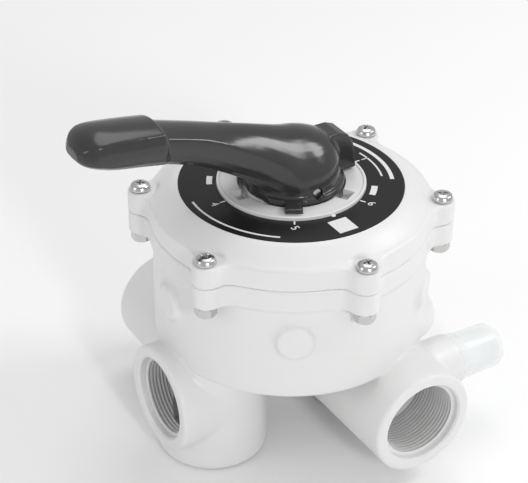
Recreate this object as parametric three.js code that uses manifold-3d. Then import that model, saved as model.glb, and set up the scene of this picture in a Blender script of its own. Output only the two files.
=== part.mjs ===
// Six-position multiport backwash valve with a lever handle. Millimetres, +Z up.
// Origin: on the selector axis, in the plane of the three side ports' axes.
// Outlets point along -X (left), -Y (right) and +Y (back); the handle lies over the left outlet.
import * as THREE from 'three';
import { mergeVertices } from 'three/addons/utils/BufferGeometryUtils.js';
import Module from 'manifold-3d';

const wasm = await Module();
wasm.setup();

// ---------------------------------------------------------------- driving sizes
const GAP = 0.3;                 // between faces that touch
const RUNNING = 0.4;             // round a part that turns or slides
const POSITIONS = 6;             // selector positions and cover screws
const ROUND = 48;                // facets on the largest circles
const MEDIUM = 28;               // facets on pipes and discs
const SMALL = 14;                // facets on pins and screws

const barrel = { radius: 80.5, wall: 7.5, floor: 27, plate: 16, top: 100.2 };
const flange = { radius: barrel.radius + 1.5, lower: barrel.top - 13.5, upper: barrel.top + 13.3 };
const screw = { radius: 3.2, head: 6.25, headHeight: 4.2, beyondNut: 1 };
const lug = {
  circle: barrel.radius + 7, radius: 7.4, fillet: 20, clocking: 25.8, hole: screw.radius + RUNNING,
  seatRadius: 10.8,
};
const pad = { radius: 12.3, proud: 2.8, height: 66.8, angles: [0, 60, 120, 180, 240, 310] };
const bulge = { radius: 22, reach: barrel.radius - 14.5, angle: -42, shoulder: 38, top: 52, topRadius: 14 };
const port = {
  outer: 32.6, mouth: 25, mouthDepth: 4.5, thread: 24.15, threadDepth: 30, bore: 20.5,
};
const left = { face: barrel.radius + 9.6 };
const right = { face: barrel.radius + 18.9, offset: 31.4, inner: 0, riser: barrel.radius - 35.5 };
const back = { face: barrel.radius + 12.9, offset: -34, inner: 6, riser: barrel.radius - 36.5 };
const riserRadius = 16;
// Two upright barrels under the plate: the left one is the left outlet's closed elbow.
const drop = { offset: barrel.radius - 27.1, radius: 33.1, bottom: -44, bore: 24, floor: 7, passage: 18 };
const glass = {
  offset: -56, bossWall: 1.4, bossEnd: barrel.radius + 1.5, depth: 6, radius: 15, reach: 34.5, wall: 2.4,
  hole: 9.5, ringSection: 1.2,
};
const crown = { radius: barrel.radius - 13.5, height: flange.upper + 8.7, thickness: 7 };
const spigot = { depth: 7, wall: 6 };
const label = { inner: 43.5, outer: crown.radius - 1.8, thickness: 0.8 };
const collar = {
  inner: 31.2, height: crown.height + 1.8, notchWidth: 10.4, notchReach: 38.2, notchDepth: 5,
};
const well = { floor: crown.height - 5.2 };
const guide = { radius: 20, lower: barrel.top - 3.2, inner: 22, outer: 27.4, height: well.floor + 4.6 };
const coverRing = { circle: barrel.radius - 5.3, section: 1.7 };
const stem = {
  radius: 11, top: well.floor + 24, flatHalf: 8, flatFrom: well.floor + 1.5,
  grooves: [guide.lower + 6, guide.lower + 13], grooveWidth: 3,
};
const stemRing = { section: 1.05 };
const gasket = { thickness: 3.7, rim: 5, hub: 12, spoke: 6 };
const key = { inset: 3, thickness: 9, hub: 20, hubHeight: 7, windowInner: 24, windowRim: 8 };
const washer = { radius: 19, thickness: 1.6 };
const spring = { radius: 15, wire: 2.4, coils: 4.5 };
const nut = { across: 11.1, height: 6.2 };
const skirt = {
  radius: collar.inner - 0.6, lower: collar.height - 1.4, upper: collar.height + 3,
  flatAt: collar.inner - 5.7,
};
const tab = { width: 10, reach: collar.notchReach + 1.4, lower: collar.height + 0.5, angles: [120, 240] };
const hub = { radius: skirt.radius - 2.6, crownHeight: collar.height + 32, slotHalfLength: stem.radius + 4 };
const pin = { radius: 3, half: hub.radius - 0.8, height: collar.height + 4.3 };
const nose = {
  reach: collar.notchReach + 0.8, halfWidth: 8.5, top: collar.height + 25, lower: tab.lower + 0.1,
};
// Lever sections outward from the selector axis: distance, then top and bottom above the collar,
// then half width.
const lever = [
  [4, 31, 9, 20],
  [20, 35, 10.5, 18.5],
  [37, 42.5, 17, 16],
  [54, 49, 26.5, 14],
  [71, 54.6, 34.5, 13.4],
  [84, 58.6, 39, 13.6],
  [88, 61, 39.4, 15.6],
  [104, 63.8, 43, 16.4],
  [121, 66.4, 47, 15.8],
  [131, 66, 50, 13],
  [137, 62, 54, 7.5],
];

// ---------------------------------------------------------------- derived places
const baseTop = barrel.floor + barrel.plate;
const cavityRadius = barrel.radius - barrel.wall;
const keyRadius = cavityRadius - key.inset;
const coverBottom = barrel.top + GAP;
const keyBottom = baseTop + gasket.thickness + 2 * GAP;
const keyTop = keyBottom + key.thickness;
const keyHubTop = keyTop + key.hubHeight;
const guideBore = stem.radius + RUNNING;
const bossRadius = glass.radius + glass.bossWall;
const glassSeat = glass.bossEnd - glass.depth;
const glassTip = glass.bossEnd + glass.reach;
const sixth = (2 * Math.PI) / POSITIONS;
const clocking = THREE.MathUtils.degToRad(lug.clocking);

// ---------------------------------------------------------------- solid helpers
function toSolid(geometry) {
  const bare = geometry.clone();
  bare.deleteAttribute('normal');
  bare.deleteAttribute('uv');
  const merged = mergeVertices(bare, 1e-4);
  const index = merged.index.array;
  const kept = [];
  for (let i = 0; i < index.length; i += 3) {
    const [a, b, c] = [index[i], index[i + 1], index[i + 2]];
    if (a !== b && b !== c && c !== a) kept.push(a, b, c);
  }
  if (signedVolume(merged.attributes.position, kept) < 0) kept.reverse();
  const mesh = new wasm.Mesh({
    numProp: 3,
    vertProperties: Float32Array.from(merged.attributes.position.array),
    triVerts: Uint32Array.from(kept),
  });
  return new wasm.Manifold(mesh);
}

function signedVolume(position, index) {
  const a = new THREE.Vector3();
  const b = new THREE.Vector3();
  const c = new THREE.Vector3();
  let total = 0;
  for (let i = 0; i < index.length; i += 3) {
    a.fromBufferAttribute(position, index[i]);
    b.fromBufferAttribute(position, index[i + 1]);
    c.fromBufferAttribute(position, index[i + 2]);
    total += a.dot(b.cross(c));
  }
  return total;
}

function toGeometry(solid) {
  const mesh = solid.getMesh();
  const geometry = new THREE.BufferGeometry();
  geometry.setAttribute('position', new THREE.Float32BufferAttribute(mesh.vertProperties, mesh.numProp));
  geometry.setIndex(new THREE.Uint32BufferAttribute(mesh.triVerts, 1));
  return geometry;
}

function join(...solids) {
  return solids.reduce((whole, piece) => whole.add(piece));
}

function cut(solid, ...tools) {
  return tools.reduce((whole, tool) => whole.subtract(tool), solid);
}

// A closed profile of [radius, height] points turned round the Z axis.
function revolve(profile, facets = MEDIUM) {
  const points = [...profile, profile[0]].map(([radius, height]) => new THREE.Vector2(radius, height));
  return toSolid(new THREE.LatheGeometry(points, facets).rotateX(Math.PI / 2));
}

function disc(radius, lower, upper, facets = MEDIUM) {
  return revolve([[0, lower], [radius, lower], [radius, upper], [0, upper]], facets);
}

function ring(inner, outer, lower, upper, facets = MEDIUM) {
  return revolve([[inner, lower], [outer, lower], [outer, upper], [inner, upper]], facets);
}

// A round bar between two points.
function bar(radius, from, to, facets = MEDIUM, endRadius = radius) {
  const start = new THREE.Vector3(...from);
  const along = new THREE.Vector3(...to).sub(start);
  const geometry = new THREE.CylinderGeometry(endRadius, radius, along.length(), facets);
  const upward = new THREE.Vector3(0, 1, 0);
  const turn = new THREE.Quaternion().setFromUnitVectors(upward, along.clone().normalize());
  geometry.applyQuaternion(turn);
  geometry.translate(start.x + along.x / 2, start.y + along.y / 2, start.z + along.z / 2);
  return toSolid(geometry);
}

function block(lowest, highest) {
  const size = highest.map((high, i) => high - lowest[i]);
  const geometry = new THREE.BoxGeometry(...size);
  geometry.translate(...highest.map((high, i) => (high + lowest[i]) / 2));
  return toSolid(geometry);
}

function extrude(points, lower, upper) {
  const shape = new THREE.Shape(points);
  const geometry = new THREE.ExtrudeGeometry(shape, { depth: upper - lower, bevelEnabled: false });
  return toSolid(geometry.translate(0, 0, lower));
}

function roundRing(circle, section, height, facets = 36) {
  const geometry = new THREE.TorusGeometry(circle, section, 6, facets);
  return toSolid(geometry.translate(0, 0, height));
}

function turned(solid, degrees) {
  return solid.rotate([0, 0, degrees]);
}

function around(count, first, make) {
  return Array.from({ length: count }, (_, i) => make(first + (i * 2 * Math.PI) / count, i));
}

function polar(radius, angle) {
  return [radius * Math.cos(angle), radius * Math.sin(angle)];
}

// ---------------------------------------------------------------- shared outlines
function arc(centre, radius, from, to, steps) {
  return Array.from({ length: steps + 1 }, (_, i) => {
    const angle = from + ((to - from) * i) / steps;
    return new THREE.Vector2(centre.x + radius * Math.cos(angle), centre.y + radius * Math.sin(angle));
  });
}

// The flange: a circle with a round ear at each screw, blended by hollow fillets.
function flangeOutline() {
  const filletCircle = flange.radius + lug.fillet;
  const reach = lug.radius + lug.fillet;
  const cosine = (lug.circle ** 2 + filletCircle ** 2 - reach ** 2) / (2 * lug.circle * filletCircle);
  const spread = Math.acos(cosine);
  const points = [];
  around(POSITIONS, clocking, (angle) => {
    const ear = new THREE.Vector2(...polar(lug.circle, angle));
    const before = new THREE.Vector2(...polar(filletCircle, angle - spread));
    const after = new THREE.Vector2(...polar(filletCircle, angle + spread));
    const toBefore = before.clone().sub(ear).angle();
    const toAfter = after.clone().sub(ear).angle();
    const sweep = THREE.MathUtils.euclideanModulo(toAfter - toBefore, 2 * Math.PI);
    const inward = angle - spread + Math.PI;
    const outward = angle + spread + Math.PI;
    const turnIn = THREE.MathUtils.euclideanModulo(inward - toBefore, 2 * Math.PI) - Math.PI;
    points.push(...arc(before, lug.fillet, inward, inward - turnIn, 3));
    points.push(...arc(ear, lug.radius, toBefore, toBefore + sweep, 8).slice(1));
    points.push(...arc(after, lug.fillet, outward + turnIn, outward, 3).slice(1));
    const gapFrom = angle + spread;
    const gapTo = angle + sixth - spread;
    points.push(...arc(new THREE.Vector2(), flange.radius, gapFrom, gapTo, 7).slice(1, -1));
  });
  return points;
}

function screwHoles(lower, upper) {
  return around(POSITIONS, clocking, (angle) => {
    const [x, y] = polar(lug.circle, angle);
    return bar(lug.hole, [x, y, lower], [x, y, upper], SMALL);
  });
}

// ---------------------------------------------------------------- body
function valveBody() {
  const shell = join(
    disc(barrel.radius, barrel.floor, barrel.top, ROUND),
    extrude(flangeOutline(), flange.lower, barrel.top),
    ...pad.angles.map((degrees) => wallPad(THREE.MathUtils.degToRad(degrees))),
    barrelBulge(),
    ...outletTubes(),
    bar(bossRadius, [right.offset, glass.offset, 0], [glass.bossEnd, glass.offset, 0]),
  );
  return cut(
    shell,
    disc(cavityRadius, baseTop, barrel.top + 1, ROUND),
    coverRingSeat(),
    ...outletBores(),
    ...sightGlassSocket(),
    ...screwHoles(flange.lower - 1, barrel.top + 1),
  );
}

function wallPad(angle) {
  const inner = polar(barrel.radius - 4, angle);
  const outer = polar(barrel.radius + pad.proud, angle);
  return bar(pad.radius, [...inner, pad.height], [...outer, pad.height], SMALL);
}

// Swelling low on the barrel, over the right outlet.
function barrelBulge() {
  const [x, y] = polar(bulge.reach, THREE.MathUtils.degToRad(bulge.angle));
  const lower = bar(bulge.radius, [x, y, barrel.floor], [x, y, bulge.shoulder]);
  return join(lower, bar(bulge.radius, [x, y, bulge.shoulder], [x, y, bulge.top], MEDIUM, bulge.topRadius));
}

function outletTubes() {
  return [
    bar(port.outer, [-left.face, 0, 0], [-drop.offset, 0, 0]),
    ...[-drop.offset, drop.offset].map(
      (x) => bar(drop.radius, [x, 0, drop.bottom], [x, 0, barrel.floor + 1]),
    ),
    bar(port.outer, [right.offset, -right.face, 0], [right.offset, right.inner, 0]),
    bar(port.outer, [back.offset, back.face, 0], [back.offset, back.inner, 0]),
  ];
}

// Plain mouth, then the threaded length, then the smaller water way.
function steppedBore(face, inner, place) {
  const threadEnd = face - port.mouthDepth - port.threadDepth;
  return [
    bar(port.mouth, place(face + 1), place(face - port.mouthDepth)),
    bar(port.thread, place(face - port.mouthDepth + 1), place(threadEnd)),
    bar(port.bore, place(threadEnd + 1), place(inner)),
  ];
}

function outletBores() {
  const above = baseTop + 1;
  return [
    ...steppedBore(left.face, drop.offset, (x) => [-x, 0, 0]),
    bar(drop.bore, [-drop.offset, 0, drop.bottom + drop.floor], [-drop.offset, 0, barrel.floor - 3]),
    bar(drop.passage, [-drop.offset, 0, 0], [-drop.offset, 0, above]),
    ...steppedBore(-drop.bottom, -barrel.floor, (z) => [drop.offset, 0, -z]),
    bar(drop.passage, [drop.offset, 0, 0], [drop.offset, 0, above]),
    ...steppedBore(right.face, right.riser - riserRadius, (y) => [right.offset, -y, 0]),
    bar(riserRadius, [right.offset, -right.riser, 0], [right.offset, -right.riser, above]),
    ...steppedBore(back.face, back.riser - riserRadius, (y) => [back.offset, y, 0]),
    bar(riserRadius, [back.offset, back.riser, 0], [back.offset, back.riser, above]),
  ];
}

function sightGlassSocket() {
  return [
    bar(glass.hole, [right.offset, glass.offset, 0], [glass.bossEnd + 1, glass.offset, 0], SMALL),
    bar(glass.radius + GAP, [glassSeat, glass.offset, 0], [glass.bossEnd + 1, glass.offset, 0]),
  ];
}

// Counterbore in the body's rim that holds the cover O-ring.
function coverRingSeat() {
  const half = coverRing.section + GAP;
  return ring(cavityRadius - 1, coverRing.circle + half, barrel.top - 2 * half, barrel.top + 1, ROUND);
}

// ---------------------------------------------------------------- cover
function cover() {
  const spigotOuter = cavityRadius - GAP;
  const spigotInner = spigotOuter - spigot.wall;
  const labelSeat = crown.height - label.thickness - GAP;
  const crownProfile = [
    [0, coverBottom],
    [flange.radius - 1.5, coverBottom],
    [flange.radius - 1.5, flange.upper],
    [crown.radius, crown.height],
    [label.outer + GAP, crown.height],
    [label.outer + GAP, labelSeat],
    [label.inner - GAP, labelSeat],
    [label.inner - GAP, collar.height],
    [collar.inner, collar.height],
    [collar.inner, well.floor],
    [guide.outer, well.floor],
    [guide.outer, guide.height],
    [guide.inner, guide.height],
    [guide.inner, well.floor],
    [0, well.floor],
  ];
  const hollow = revolve([
    [guide.radius, coverBottom - 1],
    [spigotInner, coverBottom - 1],
    [spigotInner, flange.upper - crown.thickness],
    [crown.radius - 10, crown.height - label.thickness - crown.thickness],
    [collar.inner + 4, crown.height - label.thickness - crown.thickness],
    [collar.inner, well.floor - crown.thickness],
    [guide.radius, well.floor - crown.thickness],
  ], ROUND);
  const whole = join(
    revolve(crownProfile, ROUND),
    extrude(flangeOutline(), coverBottom, flange.upper),
    ring(spigotInner, spigotOuter, coverBottom - spigot.depth, coverBottom + 1, ROUND),
  );
  const notches = around(POSITIONS, 0, (angle) => {
    const slot = block(
      [collar.inner - 1, -collar.notchWidth / 2, collar.height - collar.notchDepth],
      [collar.notchReach, collar.notchWidth / 2, collar.height + 1],
    );
    return turned(slot, THREE.MathUtils.radToDeg(angle));
  });
  const screwSeats = around(POSITIONS, clocking, (angle) => {
    const [x, y] = polar(lug.circle, angle);
    return bar(lug.seatRadius, [x, y, flange.upper], [x, y, crown.height]);
  });
  const holes = screwHoles(coverBottom - 1, flange.upper + 1);
  const opened = cut(whole, hollow, ...notches, ...screwSeats, ...holes);
  const guided = join(opened, disc(guide.radius + 0.5, guide.lower, well.floor - 1));
  return cut(guided, bar(guideBore, [0, 0, guide.lower - 1], [0, 0, well.floor + 1]));
}

function positionLabel() {
  return ring(label.inner, label.outer, crown.height - label.thickness, crown.height, ROUND);
}

// ---------------------------------------------------------------- seat, key and spring
function seatGasket() {
  const outer = cavityRadius - 1;
  const lower = baseTop + GAP;
  const upper = lower + gasket.thickness;
  const spokes = around(POSITIONS, sixth / 2, (angle) => {
    const spoke = block([0, -gasket.spoke / 2, lower], [outer - gasket.rim / 2, gasket.spoke / 2, upper]);
    return turned(spoke, THREE.MathUtils.radToDeg(angle));
  });
  const rim = ring(outer - gasket.rim, outer, lower, upper, ROUND);
  return join(disc(gasket.hub, lower, upper), rim, ...spokes);
}

// Disc with one pie-shaped window, a hub, and the stem with its two O-ring grooves and flats.
function selectorKey() {
  const grooveRadius = stem.radius - 2 * stemRing.section - 0.1;
  const grooveHalf = stem.grooveWidth / 2;
  const stemSide = stem.grooves.flatMap((height) => [
    [stem.radius, height - grooveHalf],
    [grooveRadius, height - grooveHalf],
    [grooveRadius, height + grooveHalf],
    [stem.radius, height + grooveHalf],
  ]);
  const whole = revolve([
    [0, keyBottom],
    [keyRadius, keyBottom],
    [keyRadius, keyTop],
    [key.hub, keyTop],
    [key.hub, keyHubTop],
    [stem.radius, keyHubTop],
    ...stemSide,
    [stem.radius, stem.top],
    [0, stem.top],
  ], ROUND);
  const window = new THREE.Shape();
  window.absarc(0, 0, keyRadius - key.windowRim, -sixth / 2.6, sixth / 2.6, false);
  window.absarc(0, 0, key.windowInner, sixth / 2.6, -sixth / 2.6, true);
  const opening = extrude(window.getPoints(8).slice(0, -1), keyBottom - 1, keyTop + 1);
  const flats = [-1, 1].map((side) => {
    const inner = side * stem.flatHalf;
    const outer = side * (stem.radius + 1);
    const reach = stem.radius + 1;
    return block(
      [-reach, Math.min(inner, outer), stem.flatFrom],
      [reach, Math.max(inner, outer), stem.top + 1],
    );
  });
  const cross = bar(pin.radius + GAP, [0, -stem.radius, pin.height], [0, stem.radius, pin.height], SMALL);
  return cut(whole, opening, ...flats, cross);
}

function stemORing(height) {
  return roundRing(stem.radius - stemRing.section, stemRing.section, height, 28);
}

function springWasher(lower) {
  return ring(stem.radius + RUNNING, washer.radius, lower, lower + washer.thickness);
}

const lowerWasherBottom = keyHubTop + GAP;
const upperWasherBottom = guide.lower - GAP - washer.thickness;

class Helix extends THREE.Curve {
  constructor(radius, lower, upper, turns) {
    super();
    Object.assign(this, { radius, lower, upper, turns });
  }

  getPoint(t, target = new THREE.Vector3()) {
    const angle = 2 * Math.PI * this.turns * t;
    const height = this.lower + (this.upper - this.lower) * t;
    return target.set(this.radius * Math.cos(angle), this.radius * Math.sin(angle), height);
  }
}

const springLower = lowerWasherBottom + washer.thickness + GAP;
const springUpper = upperWasherBottom - GAP;

function keySpring() {
  const wireRadius = spring.wire / 2;
  const section = new THREE.Shape(arc(new THREE.Vector2(), wireRadius, 0, 2 * Math.PI, 6).slice(0, -1));
  const margin = wireRadius * 1.1;
  const path = new Helix(spring.radius, springLower + margin, springUpper - margin, spring.coils);
  const steps = Math.round(spring.coils * 16);
  return toSolid(new THREE.ExtrudeGeometry(section, { steps, bevelEnabled: false, extrudePath: path }));
}

// ---------------------------------------------------------------- handle and its pin
function handlePin() {
  return bar(pin.radius, [0, -pin.half, pin.height], [0, pin.half, pin.height], SMALL);
}

// Rounded section of the lever at one station, in the plane across it.
function leverSection([distance, top, bottom, halfWidth]) {
  const count = 16;
  const middle = collar.height + (top + bottom) / 2;
  const halfHeight = (top - bottom) / 2;
  const squareness = 0.62;
  return Array.from({ length: count }, (_, i) => {
    const angle = (2 * Math.PI * (i + 0.5)) / count;
    const across = Math.sign(Math.cos(angle)) * Math.abs(Math.cos(angle)) ** squareness;
    const upward = Math.sign(Math.sin(angle)) * Math.abs(Math.sin(angle)) ** squareness;
    return [-distance, across * halfWidth, middle + upward * halfHeight];
  });
}

function leverArm() {
  const rings = lever.map(leverSection);
  const count = rings[0].length;
  const positions = rings.flat(2);
  const index = [];
  for (let row = 0; row + 1 < rings.length; row += 1) {
    for (let i = 0; i < count; i += 1) {
      const [a, b] = [row * count + i, row * count + ((i + 1) % count)];
      index.push(a, b, b + count, a, b + count, a + count);
    }
  }
  const last = (rings.length - 1) * count;
  for (let i = 1; i + 1 < count; i += 1) {
    index.push(0, i + 1, i);
    index.push(last, last + i, last + i + 1);
  }
  const geometry = new THREE.BufferGeometry();
  geometry.setAttribute('position', new THREE.Float32BufferAttribute(positions, 3));
  geometry.setIndex(index);
  return toSolid(geometry);
}

function handleHub() {
  const steps = 7;
  const dome = Array.from({ length: steps + 1 }, (_, i) => {
    const angle = (Math.PI / 2) * (i / steps);
    const rise = hub.crownHeight - skirt.upper - 6;
    return [hub.radius * Math.cos(angle), skirt.upper + 6 + rise * Math.sin(angle)];
  });
  return revolve([[0, skirt.lower], [hub.radius, skirt.lower], ...dome.slice(0, -1), [0, hub.crownHeight]]);
}

function handle() {
  const skirtDisc = disc(skirt.radius, skirt.lower, skirt.upper);
  const relief = block(
    [-skirt.radius - 1, -skirt.radius, skirt.lower - 1],
    [-skirt.flatAt, skirt.radius, skirt.upper + 1],
  );
  const tabs = tab.angles.map((angle) => {
    const arm = block([0, -tab.width / 2, tab.lower], [tab.reach, tab.width / 2, skirt.upper]);
    return turned(arm, angle);
  });
  const noseProfile = [
    new THREE.Vector2(0, nose.lower),
    new THREE.Vector2(nose.reach, nose.lower),
    new THREE.Vector2(nose.reach - 1, nose.lower + 9),
    new THREE.Vector2(nose.reach - 2.5, nose.lower + 17),
    new THREE.Vector2(nose.reach - 5, nose.top - 2),
    new THREE.Vector2(nose.reach - 9, nose.top),
    new THREE.Vector2(0, nose.top),
  ];
  const noseSolid = extrude(noseProfile, -nose.halfWidth, nose.halfWidth).rotate([90, 0, 0]);
  const whole = join(cut(skirtDisc, relief), handleHub(), leverArm(), noseSolid, ...tabs);
  const slot = block(
    [-hub.slotHalfLength, -stem.flatHalf - RUNNING, skirt.lower - 1],
    [hub.slotHalfLength, stem.flatHalf + RUNNING, stem.top + 3],
  );
  const cross = bar(
    pin.radius + GAP, [0, -skirt.radius - 1, pin.height], [0, skirt.radius + 1, pin.height], SMALL,
  );
  return cut(whole, slot, cross);
}

// ---------------------------------------------------------------- sight glass
function sightGlass() {
  const inner = glass.radius - glass.wall;
  const seat = glassSeat + 2 * glass.ringSection + 2 * GAP;
  const steps = 5;
  const roundEnd = (radius, tip) => Array.from({ length: steps + 1 }, (_, i) => {
    const angle = (Math.PI / 2) * (i / steps);
    return [radius * Math.cos(angle) ** 0.8, tip - radius + radius * Math.sin(angle)];
  });
  const outside = roundEnd(glass.radius, glassTip).slice(0, -1);
  const inside = roundEnd(inner, glassTip - glass.wall).slice(0, -1).reverse();
  const cup = revolve([
    [inner, seat],
    [glass.radius, seat],
    ...outside,
    [0, glassTip],
    [0, glassTip - glass.wall],
    ...inside,
  ], 28);
  return cup.rotate([0, 90, 0]).translate([0, glass.offset, 0]);
}

function sightGlassORing() {
  const circle = glass.radius - glass.ringSection - GAP;
  const lower = glassSeat + glass.ringSection + GAP;
  return roundRing(circle, glass.ringSection, lower, 28).rotate([0, 90, 0]).translate([0, glass.offset, 0]);
}

// ---------------------------------------------------------------- fasteners
function coverScrew() {
  const seat = flange.upper + GAP;
  const end = flange.lower - GAP - nut.height - screw.beyondNut;
  return revolve([
    [0, end],
    [screw.radius, end],
    [screw.radius, seat],
    [screw.head, seat],
    [screw.head, seat + screw.headHeight * 0.35],
    [screw.head * 0.8, seat + screw.headHeight * 0.8],
    [screw.head * 0.45, seat + screw.headHeight],
    [0, seat + screw.headHeight],
  ], SMALL);
}

function coverORing() {
  return roundRing(coverRing.circle, coverRing.section, barrel.top - coverRing.section - GAP);
}

function coverNut() {
  const upper = flange.lower - GAP;
  const corner = nut.across / Math.sqrt(3);
  const corners = Array.from({ length: 6 }, (_, i) => polar(corner, (i * Math.PI) / 3));
  const hexagon = corners.map((point) => new THREE.Vector2(...point));
  const blank = extrude(hexagon, upper - nut.height, upper);
  return cut(blank, disc(screw.radius + GAP, upper - nut.height - 1, upper + 1, SMALL));
}

// ---------------------------------------------------------------- assembly
const finishes = {
  white: { color: 0xe6e7e6, roughness: 0.42, metalness: 0 },
  black: { color: 0x1d1e20, roughness: 0.5, metalness: 0 },
  charcoal: { color: 0x4a4b4e, roughness: 0.38, metalness: 0 },
  rubber: { color: 0x161616, roughness: 0.8, metalness: 0 },
  steel: { color: 0xb9bbbd, roughness: 0.3, metalness: 1 },
  nylon: { color: 0xd9d6cc, roughness: 0.5, metalness: 0 },
  clear: { color: 0xe8eef0, roughness: 0.08, metalness: 0, transparent: true, opacity: 0.35 },
};

const valve = new THREE.Group();
valve.name = 'multiport_valve';

function place(name, solid, finish, x = 0, y = 0) {
  const material = new THREE.MeshStandardMaterial(finishes[finish]);
  const mesh = new THREE.Mesh(toGeometry(solid), material);
  mesh.name = name;
  mesh.position.set(x, y, 0);
  valve.add(mesh);
}

place('valve_body', valveBody(), 'white');
place('cover', cover(), 'white');
place('position_label', positionLabel(), 'black');
place('cover_o_ring', coverORing(), 'rubber');
place('seat_gasket', seatGasket(), 'rubber');
place('selector_key', selectorKey(), 'nylon');
stem.grooves.forEach((height, i) => place(`stem_o_ring_${i + 1}`, stemORing(height), 'rubber'));
place('lower_spring_washer', springWasher(lowerWasherBottom), 'steel');
place('upper_spring_washer', springWasher(upperWasherBottom), 'nylon');
place('key_spring', keySpring(), 'steel');
place('handle_pin', handlePin(), 'steel');
place('handle', handle(), 'charcoal');
place('sight_glass', sightGlass(), 'clear');
place('sight_glass_o_ring', sightGlassORing(), 'rubber');
around(POSITIONS, clocking, (angle, i) => {
  const [x, y] = polar(lug.circle, angle);
  place(`cover_screw_${i + 1}`, coverScrew(), 'steel', x, y);
  place(`cover_nut_${i + 1}`, coverNut(), 'steel', x, y);
});

export default valve;
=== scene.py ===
"""Six-position multiport valve: the finished pieces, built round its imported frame.

Lengths are millimetres in the size fields and metres in the meshes. The frame's origin lies on
the selector axis, in the plane of the side outlets' axes; +Z is up and the grip lies along -X.
"""

import logging
import math
from collections.abc import Sequence
from dataclasses import dataclass, field
from enum import Enum

import bmesh
import bpy
from mathutils import Matrix, Vector


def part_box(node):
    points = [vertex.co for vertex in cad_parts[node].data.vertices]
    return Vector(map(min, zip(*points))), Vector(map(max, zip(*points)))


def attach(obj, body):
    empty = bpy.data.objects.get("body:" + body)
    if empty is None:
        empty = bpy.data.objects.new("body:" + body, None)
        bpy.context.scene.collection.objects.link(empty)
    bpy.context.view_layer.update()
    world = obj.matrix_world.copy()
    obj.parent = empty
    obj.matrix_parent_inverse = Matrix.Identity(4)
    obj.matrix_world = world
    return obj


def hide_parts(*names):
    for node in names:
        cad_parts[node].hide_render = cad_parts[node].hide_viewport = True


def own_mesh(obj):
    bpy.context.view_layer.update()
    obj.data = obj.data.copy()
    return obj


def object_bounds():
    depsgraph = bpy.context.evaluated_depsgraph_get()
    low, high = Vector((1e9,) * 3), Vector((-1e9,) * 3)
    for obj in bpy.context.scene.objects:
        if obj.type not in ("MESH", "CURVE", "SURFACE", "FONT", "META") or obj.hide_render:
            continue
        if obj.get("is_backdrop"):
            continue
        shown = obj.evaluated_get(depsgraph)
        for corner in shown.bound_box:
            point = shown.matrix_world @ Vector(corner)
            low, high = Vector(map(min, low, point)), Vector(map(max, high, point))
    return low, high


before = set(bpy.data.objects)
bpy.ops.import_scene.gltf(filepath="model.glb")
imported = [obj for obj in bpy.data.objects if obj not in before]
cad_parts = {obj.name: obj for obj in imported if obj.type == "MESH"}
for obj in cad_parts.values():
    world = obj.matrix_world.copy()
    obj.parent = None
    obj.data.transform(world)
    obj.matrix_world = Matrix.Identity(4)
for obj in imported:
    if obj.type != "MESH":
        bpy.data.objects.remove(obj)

MM = 0.001
FINE = 128      # facets round the cover and body
PIPE = 96       # facets round the outlets
SMALL = 40      # facets round screws and pins
SLACK = 0.3     # clearance round fitted pieces, in millimetres
BEYOND = 1.0    # how far a cutting tool runs past a face, in millimetres

Piece = bpy.types.Object
Socket = bpy.types.NodeSocket
Point = tuple[float, float, float]
Corner = tuple[float, ...]

log = logging.getLogger("multiport_valve")


# ------------------------------------------------------------------ frame places
@dataclass(frozen=True)
class Extent:
    """The box of a CAD node at rest, in millimetres."""

    low: Vector
    high: Vector

    @classmethod
    def of(cls, node: str) -> "Extent":
        """Read the box of one node from the frame.

        Args:
            node: The CAD node's name.

        Returns:
            Its extent.
        """
        low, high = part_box(node)
        return cls(low / MM, high / MM)

    @property
    def middle(self) -> Vector:
        """Centre of the box."""
        return (self.low + self.high) / 2


# ------------------------------------------------------------------ finishes
def shader(material: bpy.types.Material) -> bpy.types.ShaderNodeBsdfPrincipled:
    """Return a node material's principled shader."""
    return next(node for node in material.node_tree.nodes if node.type == "BSDF_PRINCIPLED")


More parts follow.
